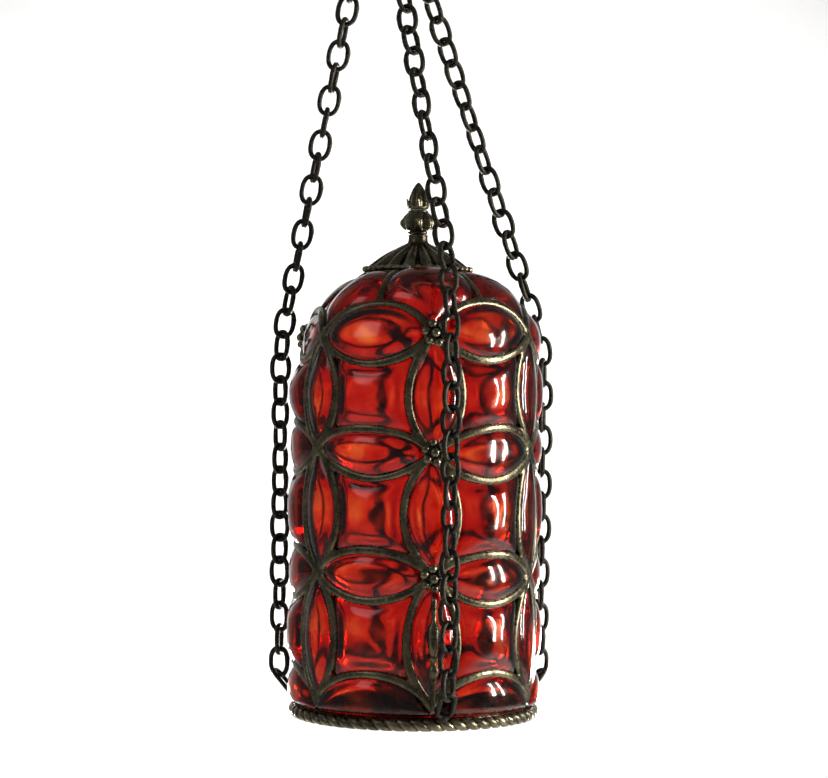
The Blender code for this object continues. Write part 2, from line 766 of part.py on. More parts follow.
def build_suspension(frame, crown_frame, iron, bronze):
    lug, hook = lug_mesh(), hook_mesh()
    to_crown = crown_frame.location - frame.location
    for name, azimuth in CHAIN_AZIMUTH.items():
        place(f"chain_lug_{name}", lug, iron, frame, azimuth)
        lower, upper = chain_path(name, to_crown)
        end = LINK_HALF_LENGTH
        mesh, turned = chain_mesh("chain_lower", lower, end, JOINT_PITCH / 2, 0, azimuth)
        place(f"chain_{name}_lower", mesh, iron, frame)
        mesh, turned = chain_mesh("chain_upper", upper, JOINT_PITCH / 2, end, turned, azimuth)
        place(f"chain_{name}_upper", mesh, iron, frame)
        seat = polar(azimuth, HOOK_RADIUS, CROWN_UNDERSIDE - GAP)
        place(f"crown_hook_{name}", hook, iron, crown_frame, azimuth + (90 if turned else 0), seat)
    place("crown", crown_mesh(), bronze, crown_frame)
    place("crown_drop", crown_drop_mesh(), bronze, crown_frame)
    place("swivel_eye", swivel_mesh(), iron, crown_frame)
    place("hanging_ring", ring_mesh(), iron, crown_frame)


def main():
    clear_scene()
    bronze = make_material("antique_bronze", (0.16, 0.13, 0.07), 0.42, 1.0)
    glass = make_material("ruby_glass", (0.72, 0.02, 0.02), 0.04, 0.0, 0.9)
    iron = make_material("black_iron", (0.03, 0.028, 0.025), 0.5, 1.0)
    tin = make_material("tealight_tin", (0.75, 0.75, 0.74), 0.3, 1.0)
    wax = make_material("candle_wax", (0.86, 0.82, 0.72), 0.5)
    cotton = make_material("wick_cotton", (0.7, 0.66, 0.58), 0.9)
    crown_frame = make_frame("crown_frame", Vector((0, 0, -BASE_TO_HOOK)))
    frame = make_frame("lantern_frame", Vector((BODY_X, 0, -BASE_TO_HOOK)))
    build_body(frame, bronze, glass)
    build_top(frame, bronze)
    build_light(frame, bronze, tin, wax, cotton)
    build_suspension(frame, crown_frame, iron, bronze)


main()
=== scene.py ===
import math
from dataclasses import dataclass

import bmesh
import bpy
import numpy as np
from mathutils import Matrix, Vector


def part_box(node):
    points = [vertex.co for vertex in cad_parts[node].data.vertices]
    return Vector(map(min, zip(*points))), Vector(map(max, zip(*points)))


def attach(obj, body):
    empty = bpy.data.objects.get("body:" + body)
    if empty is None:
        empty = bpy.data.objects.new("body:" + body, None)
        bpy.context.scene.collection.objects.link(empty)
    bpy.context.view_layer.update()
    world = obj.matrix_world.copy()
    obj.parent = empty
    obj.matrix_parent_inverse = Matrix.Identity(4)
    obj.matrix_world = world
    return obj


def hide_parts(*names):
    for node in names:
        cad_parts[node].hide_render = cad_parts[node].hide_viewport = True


# A hanging lantern of ruby glass blown into a bronze wire cage.
#
# Lengths are in metres, and turned profiles are (radius, height) pairs in millimetres. Azimuths are
# in degrees round the body's upright axis, from the front towards the right. Arrays of points have
# their x, y and z in the last dimension.

MM = 0.001

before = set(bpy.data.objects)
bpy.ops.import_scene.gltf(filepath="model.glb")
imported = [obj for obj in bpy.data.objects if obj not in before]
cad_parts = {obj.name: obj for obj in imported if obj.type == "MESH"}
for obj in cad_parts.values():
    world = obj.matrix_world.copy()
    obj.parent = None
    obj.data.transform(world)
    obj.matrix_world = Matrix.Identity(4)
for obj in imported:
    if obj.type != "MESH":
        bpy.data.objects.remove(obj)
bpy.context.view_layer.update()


@dataclass
class Place:
    """Where a CAD node is: the middle of its box, and its lowest and highest corners."""

    low: Vector
    high: Vector

    @property
    def middle(self):
        return (self.low + self.high) / 2

    @property
    def radius(self):
        return (self.high.x - self.low.x) / 2


def place_of(node):
    low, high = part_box(node)
    return Place(Vector(low), Vector(high))


BASE = place_of("base_ring")
AXIS = Vector((BASE.middle.x, BASE.middle.y, BASE.low.z))


def axis_through(node):
    """The point on the upright line through a node's middle that is level with the base's underside."""
    middle = place_of(node).middle
    return Vector((middle.x, middle.y, AXIS.z))


CROWN_AXIS = axis_through("crown")
UP = np.array((0, 0, 1.0))

# The glass: a tube with a domed shoulder, in steps of the cage's columns.
COLUMNS = 6
FRONT_COLUMN = 8.0
COLUMN_STEP = 360 / COLUMNS
ROPE_RADIUS = BASE.radius
TUBE_RADIUS = ROPE_RADIUS - 4.6 * MM
COLUMN_WIDTH = math.radians(COLUMN_STEP) * TUBE_RADIUS
SHOULDER_START = 178 * MM
SHOULDER_RISE = 41 * MM
SHOULDER_LENGTH = 59.2 * MM
MOUTH_RADIUS = 24 * MM
MOUTH = SHOULDER_START + SHOULDER_LENGTH
GLASS_FOOT = 6.5 * MM
GLASS_WALL = 2.6 * MM
THIN_WALL = 2.0 * MM
THICK_WALL = 2.9 * MM
SLUMP_AZIMUTH = -86.0
SLUMP_REACH = 41.0
SLUMP_DEPTH = 4.5 * MM

# The cage: where its nodes are up the glass, and how far its arcs bow between them.
LEVELS = (13 * MM, 73 * MM, 133 * MM, 187.7 * MM)
PETAL_BOW = 12.5 * MM
EYE_BOW_UP = (13.6 * MM, 12.3 * MM, 12.3 * MM, 16 * MM)
EYE_BOW_DOWN = (0, 12.3 * MM, 12.3 * MM, 11 * MM)
CHAIN_COLUMNS = {"front": 0, "right": 2, "left": 4}


# Mesh helpers.


def face_outwards(mesh):
    bm = bmesh.new()
    bm.from_mesh(mesh)
    bmesh.ops.recalc_face_normals(bm, faces=bm.faces)
    bm.to_mesh(mesh)
    bm.free()


def add_piece(name, points, faces, material, body, slot, replaced):
    """A mesh piece that rides on a body, and stands for the CAD nodes named in replaced."""
    mesh = bpy.data.meshes.new(name)
    mesh.from_pydata(points, [], faces)
    mesh.materials.append(material)
    face_outwards(mesh)
    mesh.shade_smooth()
    piece = bpy.data.objects.new(name, mesh)
    bpy.context.scene.collection.objects.link(piece)
    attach(piece, body)
    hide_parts(*replaced)
    return piece


def weave(rows, columns, closed):
    """The faces of a grid of points whose rows are rings. closed joins the last row to the first."""
    row = np.arange(rows if closed else rows - 1)[:, None]
    column = np.arange(columns)[None, :]
    here, after = row * columns, (row + 1) % rows * columns
    beside = (column + 1) % columns
    corners = (here + column, here + beside, after + beside, after + column)
    return np.stack(corners, axis=-1).reshape(-1, 4)


class Shape:
    """Points and faces gathered from several grids."""

    def __init__(self):
        self.points = []
        self.faces = []
        self.count = 0

    def add_grid(self, points, closed=False):
        """Adds a grid whose rows are rings. Its end rows are filled, or joined where it's closed."""
        rows, columns = points.shape[:2]
        faces = weave(rows, columns, closed).tolist()
        if not closed:
            last = (rows - 1) * columns
            faces += [range(columns)[::-1], range(last, last + columns)]
        self.points.append(points.reshape(-1, 3))
        self.faces += [tuple(corner + self.count for corner in face) for face in faces]
        self.count += rows * columns

    def add_turned(self, profile, sides, share=0.0, axis=AXIS, flute=None, closed=False):
        """Adds a turned shape. share is how much of each edge its rounded corners take."""
        line = rounded(in_mm(profile), share) if share else in_mm(profile)
        self.add_grid(turned(line, sides, axis, flute), closed)

    def piece(self, name, *about):
        return add_piece(name, np.concatenate(self.points), self.faces, *about)


def round_axis(azimuth, radius, height, axis=AXIS):
    """Points at these azimuths, radii and heights round an upright axis."""
    angle = np.radians(azimuth)
    x, y, z = np.broadcast_arrays(radius * np.sin(angle), -radius * np.cos(angle), height)
    return np.stack((x + axis.x, y + axis.y, z + axis.z), axis=-1)


def full_turn(count):
    """Angles evenly round a circle."""
    return np.arange(count) * 2 * math.pi / count


def heading(azimuth):
    """The level direction at an azimuth."""
    return round_axis(azimuth, 1.0, 0.0, Vector())


def in_mm(profile):
    return np.array(profile) * MM


def turned(profile, sides, axis=AXIS, flute=None):
    """The grid of a turned shape, in metres. flute gives the radius's share at an angle and a height."""
    azimuth = np.arange(sides) * 360 / sides
    radius, height = np.repeat(np.array(profile).T[:, :, None], sides, axis=2)
    if flute:
        radius = radius * flute(np.radians(azimuth), height)
    return round_axis(azimuth, radius, height, axis)


def curve(before, corner, after, steps):
    """Points on a small curve that cuts a corner between two points."""
    part = np.linspace(0, 1, steps + 1)[:, None]
    return (1 - part) ** 2 * before + 2 * part * (1 - part) * corner + part**2 * after


def rounded(corners, share):
    """A profile whose inner corners are turned into curves that take this share of each edge."""
    line = [corners[:1]]
    for before, corner, after in zip(corners, corners[1:], corners[2:]):
        start, end = corner + (before - corner) * share, corner + (after - corner) * share
        line.append(curve(start, corner, end, 3))
    return np.concatenate([*line, corners[-1:]])


def eased(part):
    """0 to 1 with soft ends, for a share of 0 to 1."""
    part = np.clip(part, 0, 1)
    return part * part * (3 - 2 * part)


def flutes(count, depth, power, start, end=(math.inf, 1), shift=0.0):
    """A flute for turned: grooves that deepen from one height and fade out at another.

    start and end are a height and the length of the change there, in millimetres.
    """

    def share(angle, height):
        fade_in = eased((height / MM - start[0]) / start[1])
        fade_out = eased((end[0] - height / MM) / end[1])
        groove = 1 - np.abs(np.sin(count / 2 * angle + shift)) ** power
        return 1 - depth * fade_in * fade_out * groove

    return share


def unit(vector):
    return vector / np.linalg.norm(vector)


def squared(wave, power):
    """A sine or cosine made squarer by a power below 1."""
    return np.sign(wave) * np.abs(wave) ** power


def circle(side, up, count):
    """Unit offsets round a circle through two directions."""
    angle = full_turn(count)[:, None]
    return side * np.cos(angle) + up * np.sin(angle)


def frames_along(points, outs, closed):
    """The side and out directions across a path, from rough out directions."""
    if closed:
        along = np.roll(points, -1, 0) - np.roll(points, 1, 0)
    else:
        along = np.gradient(points, axis=0)
    along /= np.linalg.norm(along, axis=1, keepdims=True)
    out = outs - along * (outs * along).sum(1, keepdims=True)
    out /= np.linalg.norm(out, axis=1, keepdims=True)
    return np.cross(along, out), out


def swept(points, outs, half_width, half_depth, sides=12, closed=False, flat=1.0):
    """The grid of a bar along points. flat below 1 makes its section squarer."""
    side, out = frames_along(points, outs, closed)
    angle = full_turn(sides)
    across, up = squared(np.cos(angle), flat), squared(np.sin(angle), flat)
    width = np.broadcast_to(half_width, len(points))[:, None, None]
    depth = np.broadcast_to(half_depth, len(points))[:, None, None]
    offset = side[:, None] * across[:, None] * width + out[:, None] * up[:, None] * depth
    return points[:, None] + offset


# The glass's surface. Here an azimuth is measured from the front column, and a way is a distance
# up the profile: straight up the tube, then along the shoulder.


def stray(azimuth, way):
    """How far the hand-bent cage strays from its plan: degrees round, and metres up."""
    turn = np.radians(azimuth)
    held = eased((way - LEVELS[0]) / (40 * MM)) * eased((MOUTH - way) / (35 * MM))
    around = 0.8 * np.sin(3 * turn + way / (21 * MM)) + 0.45 * np.sin(5 * turn - way / (13 * MM) + 1)
    up = 1.3 * MM * np.sin(2 * turn + way / (33 * MM) + 0.6) + 0.5 * MM * np.sin(7 * turn + 2)
    return around * held, up * held


def slump(azimuth, way):
    """From 0 to 1, how much the shoulder has slumped: it's blown lower on its left."""
    turn = np.clip((azimuth - SLUMP_AZIMUTH + 180) % 360 - 180, -SLUMP_REACH, SLUMP_REACH)
    left = np.clip(np.cos(2.2 * np.radians(turn)), 0, 1) ** 2
    return left * eased((way - 160 * MM) / (30 * MM)) * eased((MOUTH - way) / (12 * MM))


def on_glass(azimuth, way, lift=0.0):
    """Points on the glass's plain surface, or lifted off it."""
    lift = lift - SLUMP_DEPTH * slump(azimuth, way)
    around, up = stray(azimuth, way)
    way = way + up
    angle = np.clip((way - SHOULDER_START) / SHOULDER_LENGTH, 0, 1) * math.pi / 2
    across = TUBE_RADIUS - MOUTH_RADIUS
    out, rise = SHOULDER_RISE * np.cos(angle), across * np.sin(angle)
    steep = np.hypot(out, rise)
    radius = MOUTH_RADIUS + across * np.cos(angle) + lift * out / steep
    height = np.minimum(way, SHOULDER_START) + SHOULDER_RISE * np.sin(angle) + lift * rise / steep
    return round_axis(azimuth + around + FRONT_COLUMN, radius, height)


def off_glass(azimuth, way):
    """The way off the glass at these places."""
    return (on_glass(azimuth, way, 1 * MM) - on_glass(azimuth, way)) / MM


def least(first, second, blend=2.2 * MM):
    """The smaller of two distances, rounded off where they cross."""
    return -blend * np.logaddexp(-first / blend, -second / blend)


def bow_radius(half_chord, rise):
    return (half_chord**2 + rise**2) / (2 * rise)


def into_petal(level, from_column, way):
    """How far a place is inside the petal above a level, or outside it where negative."""
    low, high = LEVELS[level], LEVELS[level + 1]
    radius = bow_radius((high - low) / 2, PETAL_BOW)
    return radius - np.hypot(from_column + radius - PETAL_BOW, way - (low + high) / 2)


def into_eye(level, from_middle, way):
    """How far a place is inside the eye on a level, or outside it where negative."""
    up, down = EYE_BOW_UP[level], EYE_BOW_DOWN[level]
    radius = bow_radius(COLUMN_WIDTH / 2, up)
    above = radius - np.hypot(from_middle, way - (LEVELS[level] + up - radius))
    if not down:
        return least(above, 2.5 * (way - GLASS_FOOT))
    radius = bow_radius(COLUMN_WIDTH / 2, down)
    below = radius - np.hypot(from_middle, way - (LEVELS[level] - down + radius))
    return least(above, below)


def dome(distance, reach, steep=0.62):
    """A blown bulge's share of its height, at a distance in from its edge."""
    part = np.clip(distance / reach, 0, 1)
    return (1 - (1 - part) ** 2.1) ** steep


def relief(azimuth, way):
    """How far the glass stands out of the cage here, and how thin it's blown, from 0 to 1."""
    turn = (azimuth + COLUMN_STEP / 2) % COLUMN_STEP - COLUMN_STEP / 2
    from_column = np.abs(np.radians(turn)) * TUBE_RADIUS
    from_middle = COLUMN_WIDTH / 2 - from_column
    petal = np.max([into_petal(level, from_column, way) for level in range(3)], axis=0)
    eyes = [into_eye(level, from_middle, way) for level in range(4)]
    eye = np.max(eyes, axis=0)
    cell = least(-petal, -eye, 3.5 * MM)
    from_axis = on_glass(azimuth, way) - np.array(AXIS)
    narrowing = np.linalg.norm(from_axis[..., :2], axis=-1) / TUBE_RADIUS
    valley = least(from_middle * narrowing, 0.5 * (MOUTH - way), 3 * MM)
    shoulder = least(valley, -eyes[3], 4 * MM)
    fullness = (2.8 + 5.0 * np.clip(np.cos(np.radians(azimuth)), 0, 1) ** 2.5) * MM
    shapes = (
        (petal > 0, petal, 11.5 * MM, 4.4 * MM),
        (eye > 0, eye, 11.5 * MM, 5.0 * MM),
        ((petal <= 0) & (eye <= 0) & (way < LEVELS[3]), cell, 15.5 * MM, 6.0 * MM),
        ((eye <= 0) & (way >= LEVELS[3]), shoulder, 17 * MM, fullness),
    )
    height, thin = np.zeros(azimuth.shape), np.zeros(azimuth.shape)
    for inside, distance, reach, swell in shapes:
        height = np.where(inside, swell * dome(distance, reach), height)
        thin = np.where(inside, eased(distance / reach), thin)
    return height * (1 - 0.5 * slump(azimuth, way)), thin


def make_glass(material):
    """A closed shell that swells out of every opening, with chill ridges on its inside."""
    columns, rows = COLUMNS * 72, 250
    azimuth = np.arange(columns) * 360 / columns
    way = GLASS_FOOT + (MOUTH - GLASS_FOOT) * np.arange(rows) / (rows - 1)
    azimuth, way = np.meshgrid(azimuth, way)
    height, thin = relief(azimuth, way)
    ends = eased((way - GLASS_FOOT) / (1.2 * MM)) * eased((MOUTH - way) / (5 * MM))
    ripple = 0.16 * MM * np.sin(np.radians(azimuth) * 11 + way / (4.1 * MM)) * np.sin(way / (9 * MM) + 2)
    ridges = 0.42 * MM * np.sin(height / (0.62 * MM)) * thin * (1 - thin) * 4
    outer = on_glass(azimuth, way, (height + ripple * thin) * ends)
    hollow = height + ridges - THICK_WALL + (THICK_WALL - THIN_WALL) * thin
    inner = on_glass(azimuth, way, hollow * ends - GLASS_WALL * (1 - ends))
    shell = Shape()
    shell.add_grid(np.concatenate([outer, inner[::-1]]), closed=True)
    body = shell.piece("ruby_glass_body", material, "lantern", "ruby_glass", ["glass_body"])
    # The thinness is kept on the mesh for the glass material, which uses it to paint a light amber glow
    # where the glass is thin.
    blown = body.data.attributes.new("blown_thin", "FLOAT", "POINT")
    blown.data.foreach_set("value", np.concatenate([thin, thin[::-1]]).ravel())


# The cage's wires.


def arc(count, half_chord, rise):
    """Shares along a chord, and how far a round arc stands from it there."""
    part = np.linspace(0, 1, count)
    if not rise:
        return part, part * 0
    radius = bow_radius(half_chord, rise)
    return part, np.sqrt(radius**2 - (half_chord * (2 * part - 1)) ** 2) - (radius - rise)


def petal_line(column, level, side, count=30):
    low, high = LEVELS[level], LEVELS[level + 1]
    part, bow = arc(count, (high - low) / 2, PETAL_BOW)
    return column * COLUMN_STEP + side * np.degrees(bow / TUBE_RADIUS), low + part * (high - low)


def eye_line(column, level, side, count=30):
    rise = EYE_BOW_UP[level] if side > 0 else EYE_BOW_DOWN[level]
    part, bow = arc(count, COLUMN_WIDTH / 2, rise)
    return (column + part) * COLUMN_STEP, LEVELS[level] + side * bow


def uneven(count, seed, amount):
    """A hand-drawn wire's thickness along its length, round 1."""
    part = np.linspace(0, 1, count)
    waves = [np.sin(part * (5 + 4 * n) + seed * (1.7 + n)) / (1 + n) for n in range(3)]
    return 1 + amount * np.sum(waves, axis=0)


def add_wire(shape, azimuth, way, seed):
    """One bent wire on the glass, with its ends sunk in the solder."""
    lift = 1.5 * MM + 0.25 * MM * np.sin(seed * 2.3 + np.linspace(0, 6, len(way)))
    points = on_glass(azimuth, way, lift)
    width = 2.25 * MM * uneven(len(way), seed, 0.08)
    depth = 1.8 * MM * uneven(len(way), seed + 9, 0.08)
    shape.add_grid(swept(points, off_glass(azimuth, way), width, depth, 12, flat=0.8))


def add_solder(shape, azimuth, way, size, thick, seed):
    """A melted pool of solder, where wires meet."""
    heart, out = on_glass(azimuth, way, 1.5 * MM), off_glass(azimuth, way)
    up = unit(on_glass(azimuth, way + 1 * MM, 1.5 * MM) - heart)
    angle = full_turn(16)[:, None]
    spread = size * (1 + 0.18 * np.cos(4 * angle) + 0.08 * np.sin(3 * angle + seed))
    rim = circle(np.cross(up, out), up, 16) * spread
    rings = ((0.3, -1), (0.85, -0.6), (1, 0), (0.8, 0.7), (0.35, 1))
    shape.add_grid(np.stack([heart + rim * wide + out * thick * deep for wide, deep in rings]))


def melted(piece, voxel, rounds=4):
    """Fuses a piece's overlapping bars into one skin, and softens it as flowed metal."""
    remesh = piece.modifiers.new("fuse", "REMESH")
    remesh.mode = "VOXEL"
    remesh.voxel_size = voxel
    remesh.use_smooth_shade = True
    smooth = piece.modifiers.new("soften", "SMOOTH")
    smooth.factor = 0.5
    smooth.iterations = rounds
    bake_modifiers(piece)


def bake_modifiers(piece):
    bpy.context.view_layer.update()
    evaluated = piece.evaluated_get(bpy.context.evaluated_depsgraph_get())
    mesh = bpy.data.meshes.new_from_object(evaluated)
    piece.modifiers.clear()
    piece.data = mesh


def make_cage(material):
    """Petals down each column and eyes between the columns, soldered where they touch."""
    wires = Shape()
    for column in range(COLUMNS):
        for level, way in enumerate(LEVELS):
            seed = column * 4 + level
            if level < 3:
                add_wire(wires, *petal_line(column, level, -1), seed)
                add_wire(wires, *petal_line(column, level, 1), seed + 0.5)
            add_wire(wires, *eye_line(column, level, 1), seed + 0.3)
            if level:
                add_wire(wires, *eye_line(column, level, -1), seed + 0.8)
            add_solder(wires, column * COLUMN_STEP, way, 5.0 * MM, 1.6 * MM, seed)
    staves = [f"cage_stave_{n + 1}" for n in range(COLUMNS)]
    melted(wires.piece("wire_cage", material, "lantern", "antique_bronze", staves), 0.55 * MM)


# Rosettes and drops on the columns that carry the chains.

KNOBS = 6


def add_ball(shape, centre, out, up, radius, flat=0.85, sides=18, rings=10):
    """A cast knob, a little flattened along out."""
    across = circle(np.cross(up, out), up, sides)
    rows = []
    for tilt in np.linspace(-1.45, 1.45, rings):
        rows.append(centre + across * radius * math.cos(tilt) + out * radius * flat * math.sin(tilt))
    shape.add_grid(np.stack(rows))


def make_rosette(name, row, material):
    """Six knobs round a larger one, on a small cast disc."""
    column = CHAIN_COLUMNS[name]
    level = {"low": 1, "middle": 2, "top": 3}[row]
    azimuth, way = column * COLUMN_STEP, LEVELS[level]
    out = unit(off_glass(azimuth, way))
    node = f"rosette_{name}_{row}"
    seat = np.array(place_of(node).middle) - out * 0.3 * MM
    up = unit(UP - out * out[2])
    side = np.cross(up, out)
    rosette = Shape()
    add_ball(rosette, seat + out * 1.0 * MM, out, up, 2.3 * MM)
    for n in range(KNOBS):
        angle = 2 * math.pi * (n + 0.5) / KNOBS + 0.1 * level
        spot = seat + (side * math.cos(angle) + up * math.sin(angle)) * 4.75 * MM
        size = 2.15 + 0.15 * math.sin(5 * n + 3 * level + column)
        add_ball(rosette, spot, out, up, size * MM)
    edge = circle(side, up, 30)
    rings = ((0.5, -2.2), (5.2, -2.0), (5.6, -1.3), (5.0, -0.4), (0.5, -0.2))
    rosette.add_grid(np.stack([seat + edge * wide * MM + out * deep * MM for wide, deep in rings]))
    rosette.piece(node, material, "lantern", "antique_bronze", [node])


def make_drop(name, material):
    """Stem, leaf bud, collar, ball and a slim rod down to the base ring."""
    node = f"drop_{name}"
    profile = [
        (0.2, 64), (1.5, 63.8), (1.3, 58), (1.1, 53.5), (1.8, 52), (3.1, 49.5), (3.3, 45.5),
        (2.9, 41), (1.5, 37), (1.3, 36.4), (2.4, 35.9), (2.5, 35.0), (1.5, 34.3), (1.3, 32.6),
        (2.1, 31.6), (2.8, 29.4), (2.3, 27.2), (1.2, 25.8), (1.2, 25.2), (1.8, 24.4), (1.2, 23.6),
        (1.05, 18), (1.15, 11), (1.0, 9.7), (0.2, 9.6),
    ]

    def leaves(angle, height):
        inside = eased((height - 38 * MM) / (5 * MM)) * eased((52 * MM - height) / (3 * MM))
        return 1 - 0.2 * inside * np.abs(np.cos(2.5 * angle)) ** 3

    drop = Shape()
    drop.add_turned(profile, 30, 0.4, axis_through(node), leaves)
    drop.piece(node, material, "lantern", "antique_bronze", [node])


# The base.


def make_rope_ring(material):
    """A ring cast as twisted rope: its strands cross the section as they go round."""
    strands, lean = 60, 2
    half_width, half_height = 2.95 * MM, (BASE.high.z - BASE.low.z) / 2
    turn, around = full_turn(strands * 14)[:, None], full_turn(28)
    groove = np.abs(np.sin(turn * strands / 2 + around * lean / 2)) ** 0.5
    size = (0.56 + 0.44 * groove) * (1 + 0.02 * np.sin(turn * 7 + 1))
    radius = ROPE_RADIUS - half_width + half_width * np.cos(around) * size
    height = half_height * (1 + np.sin(around) * np.minimum(1.08 * size, 1))
    rope = Shape()
    rope.add_grid(round_axis(np.degrees(turn), radius, height), closed=True)
    rope.piece("rope_ring", material, "lantern", "antique_bronze", ["base_ring"])


def make_gallery(material):
    """The flat ring inside the rope, with the lip that locates the glass's foot.

    Its profile starts and ends on the underside, so that every corner of it is rounded.
    """
    profile = [
        (50, 0), (56.0, 0), (56.0, 5.7), (54.2, 5.7), (54.2, 8), (53.0, 8), (53.0, 1.8), (47, 1.8),
        (47, 0),
    ]
    gallery = Shape()
    gallery.add_turned(profile + profile[:1], 160, 0.15, closed=True)
    gallery.piece("gallery_ring", material, "lantern", "antique_bronze", ["base_gallery"])


def cut_away(piece, cutter):
    """Cuts the gathered shapes of cutter out of a piece."""
    mesh = bpy.data.meshes.new("cutter")
    mesh.from_pydata(np.concatenate(cutter.points), [], cutter.faces)
    tool = bpy.data.objects.new("cutter", mesh)
    bpy.context.scene.collection.objects.link(tool)
    cut = piece.modifiers.new("cut", "BOOLEAN")
    cut.object = tool
    cut.solver = "EXACT"
    bake_modifiers(piece)
    bpy.data.objects.remove(tool)


def make_tray(material):
    """The pan that plugs the base, with a rolled rim and six air holes."""
    profile = [
        (0.2, 0.4), (46.3, 0.4), (46.6, 0.8), (46.6, 5.2), (46.3, 5.6), (45.7, 5.6), (45.4, 5.2),
        (45.4, 1.9), (36, 1.9), (35.4, 2.2), (34.8, 1.9), (0.2, 1.9),
    ]
    tray = Shape()
    tray.add_turned(profile, 160)
    piece = tray.piece("tray_pan", material, "candle_tray", "antique_bronze", ["candle_tray"])
    holes = Shape()
    for n in range(6):
        heart = Vector(round_axis(60.0 * n + 30, 33 * MM, 0.0))
        holes.add_turned([(4, -3), (4, 8)], 32, axis=heart)
    cut_away(piece, holes)
    piece.data.shade_smooth()
    piece.data.set_sharp_from_angle(angle=math.radians(35))


# The top.


def make_collar(material):
    """The ring on the mouth of the glass, with the straps that run down the valleys to the eyes."""
    collar = Shape()
    profile = [
        (24, 220.1), (26.4, 220.1), (26.6, 220.4), (26.6, 221.1), (26.4, 221.3), (19.3, 221.3),
        (19.3, 220.1),
    ]
    collar.add_turned(profile, 96, closed=True)
    for n in range(COLUMNS):
        way = np.linspace(MOUTH - 2.5 * MM, LEVELS[3] + EYE_BOW_UP[3] - 0.5 * MM, 14)
        azimuth = np.full(14, COLUMN_STEP * (n + 0.5))
        points = on_glass(azimuth, way, 1.6 * MM)
        width = 1.75 * MM * uneven(14, n, 0.1)
        collar.add_grid(swept(points, off_glass(azimuth, way), width, 1.1 * MM, 10, flat=0.75))
    piece = collar.piece("mouth_collar", material, "lantern", "antique_bronze", ["top_collar"])
    melted(piece, 0.4 * MM, 2)


BRIDGE_HEIGHT = 222.2 * MM
BRIDGE_REACH = 20.6 * MM


def make_bridge(material):
    """A strap across the mouth that carries the stud of the finial, with a rolled thread on the stud."""
    bridge = Shape()
    span = np.linspace(-1, 1, 9)
    points = round_axis(FRONT_COLUMN + 90, BRIDGE_REACH * span, BRIDGE_HEIGHT)
    width = 2.1 * MM * (1.35 - 0.35 * span**2)
    bridge.add_grid(swept(points, np.tile(UP, (9, 1)), width, 0.6 * MM, 12, flat=0.4))
    height = np.linspace(222, 245.6, 190)
    thread = [(1.62 + 0.14 * math.sin(2 * math.pi * z / 0.8), z) for z in height]
    bridge.add_turned([(0.2, 221.7), *thread, (0.9, 246), (0.2, 246)], 20)
    bridge.piece("stud_bridge", material, "lantern", "antique_bronze", ["top_bridge"])


CAP_RIBS = 16


def make_cap(material):
    """A domed cap of convex ribs with deep grooves, and a plain neck."""
    outside = [
        (23.0, 221.6), (25.6, 221.6), (26.0, 222.2), (26.0, 223.0), (25.3, 223.7), (24.3, 224.7),
        (22.2, 226.3), (18.9, 228.8), (15.0, 231.2), (11.0, 233.1), (8.2, 234.6), (6.4, 235.4),
        (5.3, 236.0), (4.9, 236.8), (4.7, 239.0), (5.0, 239.6), (4.7, 240.0),
    ]
    inside = [
        (2.5, 240.0), (2.5, 234.2), (6.5, 232.9), (11.0, 230.6), (16.0, 226.9), (20.4, 223.6),
        (23.0, 221.6),
    ]
    cap = Shape()
    ribs = flutes(CAP_RIBS, 0.28, 0.6, (223.2, 1.5), (236.2, 1.6))
    sides = CAP_RIBS * 14
    outer = turned(rounded(in_mm(outside), 0.45), sides, flute=ribs)
    inner = turned(in_mm(inside), sides)
    cap.add_grid(np.concatenate([outer, inner]), closed=True)
    cap.piece("ribbed_cap", material, "cap", "antique_bronze", ["cap"])


def make_cap_beads(material):
    """A string of small cast beads round the rim of the cap."""
    place = place_of("cap_beads")
    height, radius, count = place.middle.z, place.radius - 2.6 * MM, 34
    beads = Shape()
    for n in range(count):
        azimuth = 360 * n / count + 0.6 * math.sin(n * 1.9)
        heart = round_axis(azimuth, radius, height - AXIS.z)
        size = (1.5 + 0.1 * math.sin(n * 2.7)) * MM
        add_ball(beads, heart, heading(azimuth), UP, size, 0.95, 12, 8)
    azimuth, around = np.degrees(full_turn(176))[:, None], full_turn(8)
    core = radius + (0.8 * np.cos(around) - 0.5) * MM
    beads.add_grid(round_axis(azimuth, core, height - AXIS.z + 0.8 * MM * np.sin(around)), closed=True)
    beads.piece("rim_beads", material, "cap", "antique_bronze", ["cap_beads"])


def scroll(azimuth, heart_radius, heart_height, size, turns, start):
    """A flat C-scroll that curls in towards its heart, in an upright plane."""
    part = np.linspace(0, 1, 26)
    angle = np.radians(start) + turns * 2 * math.pi * part
    reach = size * (1 - 0.78 * part)
    across, up = reach * np.cos(angle), reach * np.sin(angle)
    points = round_axis(azimuth, heart_radius + across, heart_height + up)
    return points, np.tile(heading(azimuth + 90), (26, 1)), part


def make_finial_bud(material):
    """A lobed bud with a C-scroll on each lobe, on a small foot."""
    profile = [
        (0.2, 247.5), (2.4, 247.5), (2.4, 240.3), (4.9, 240.3), (5.3, 240.8), (5.2, 241.4),
        (6.7, 242.2), (8.0, 243.6), (8.5, 245.6), (8.3, 247.4), (7.2, 249.2), (5.9, 250.6),
        (5.0, 251.4), (5.1, 251.9), (4.7, 252.3), (0.2, 252.3),
    ]
    bud = Shape()
    bud.add_turned(profile, 128, 0.25, flute=flutes(8, 0.2, 0.8, (242, 1.5), (251, 2), math.pi / 2))
    for n in range(8):
        points, outs, part = scroll(45.0 * n, 6.6 * MM, 246.2 * MM, 2.3 * MM, 1.1, 250)
        thick = (0.85 - 0.35 * part) * MM
        bud.add_grid(swept(points, outs, thick, thick * 1.1, 8))
    bud.piece("bud_finial", material, "finial", "antique_bronze", ["finial_bud"])


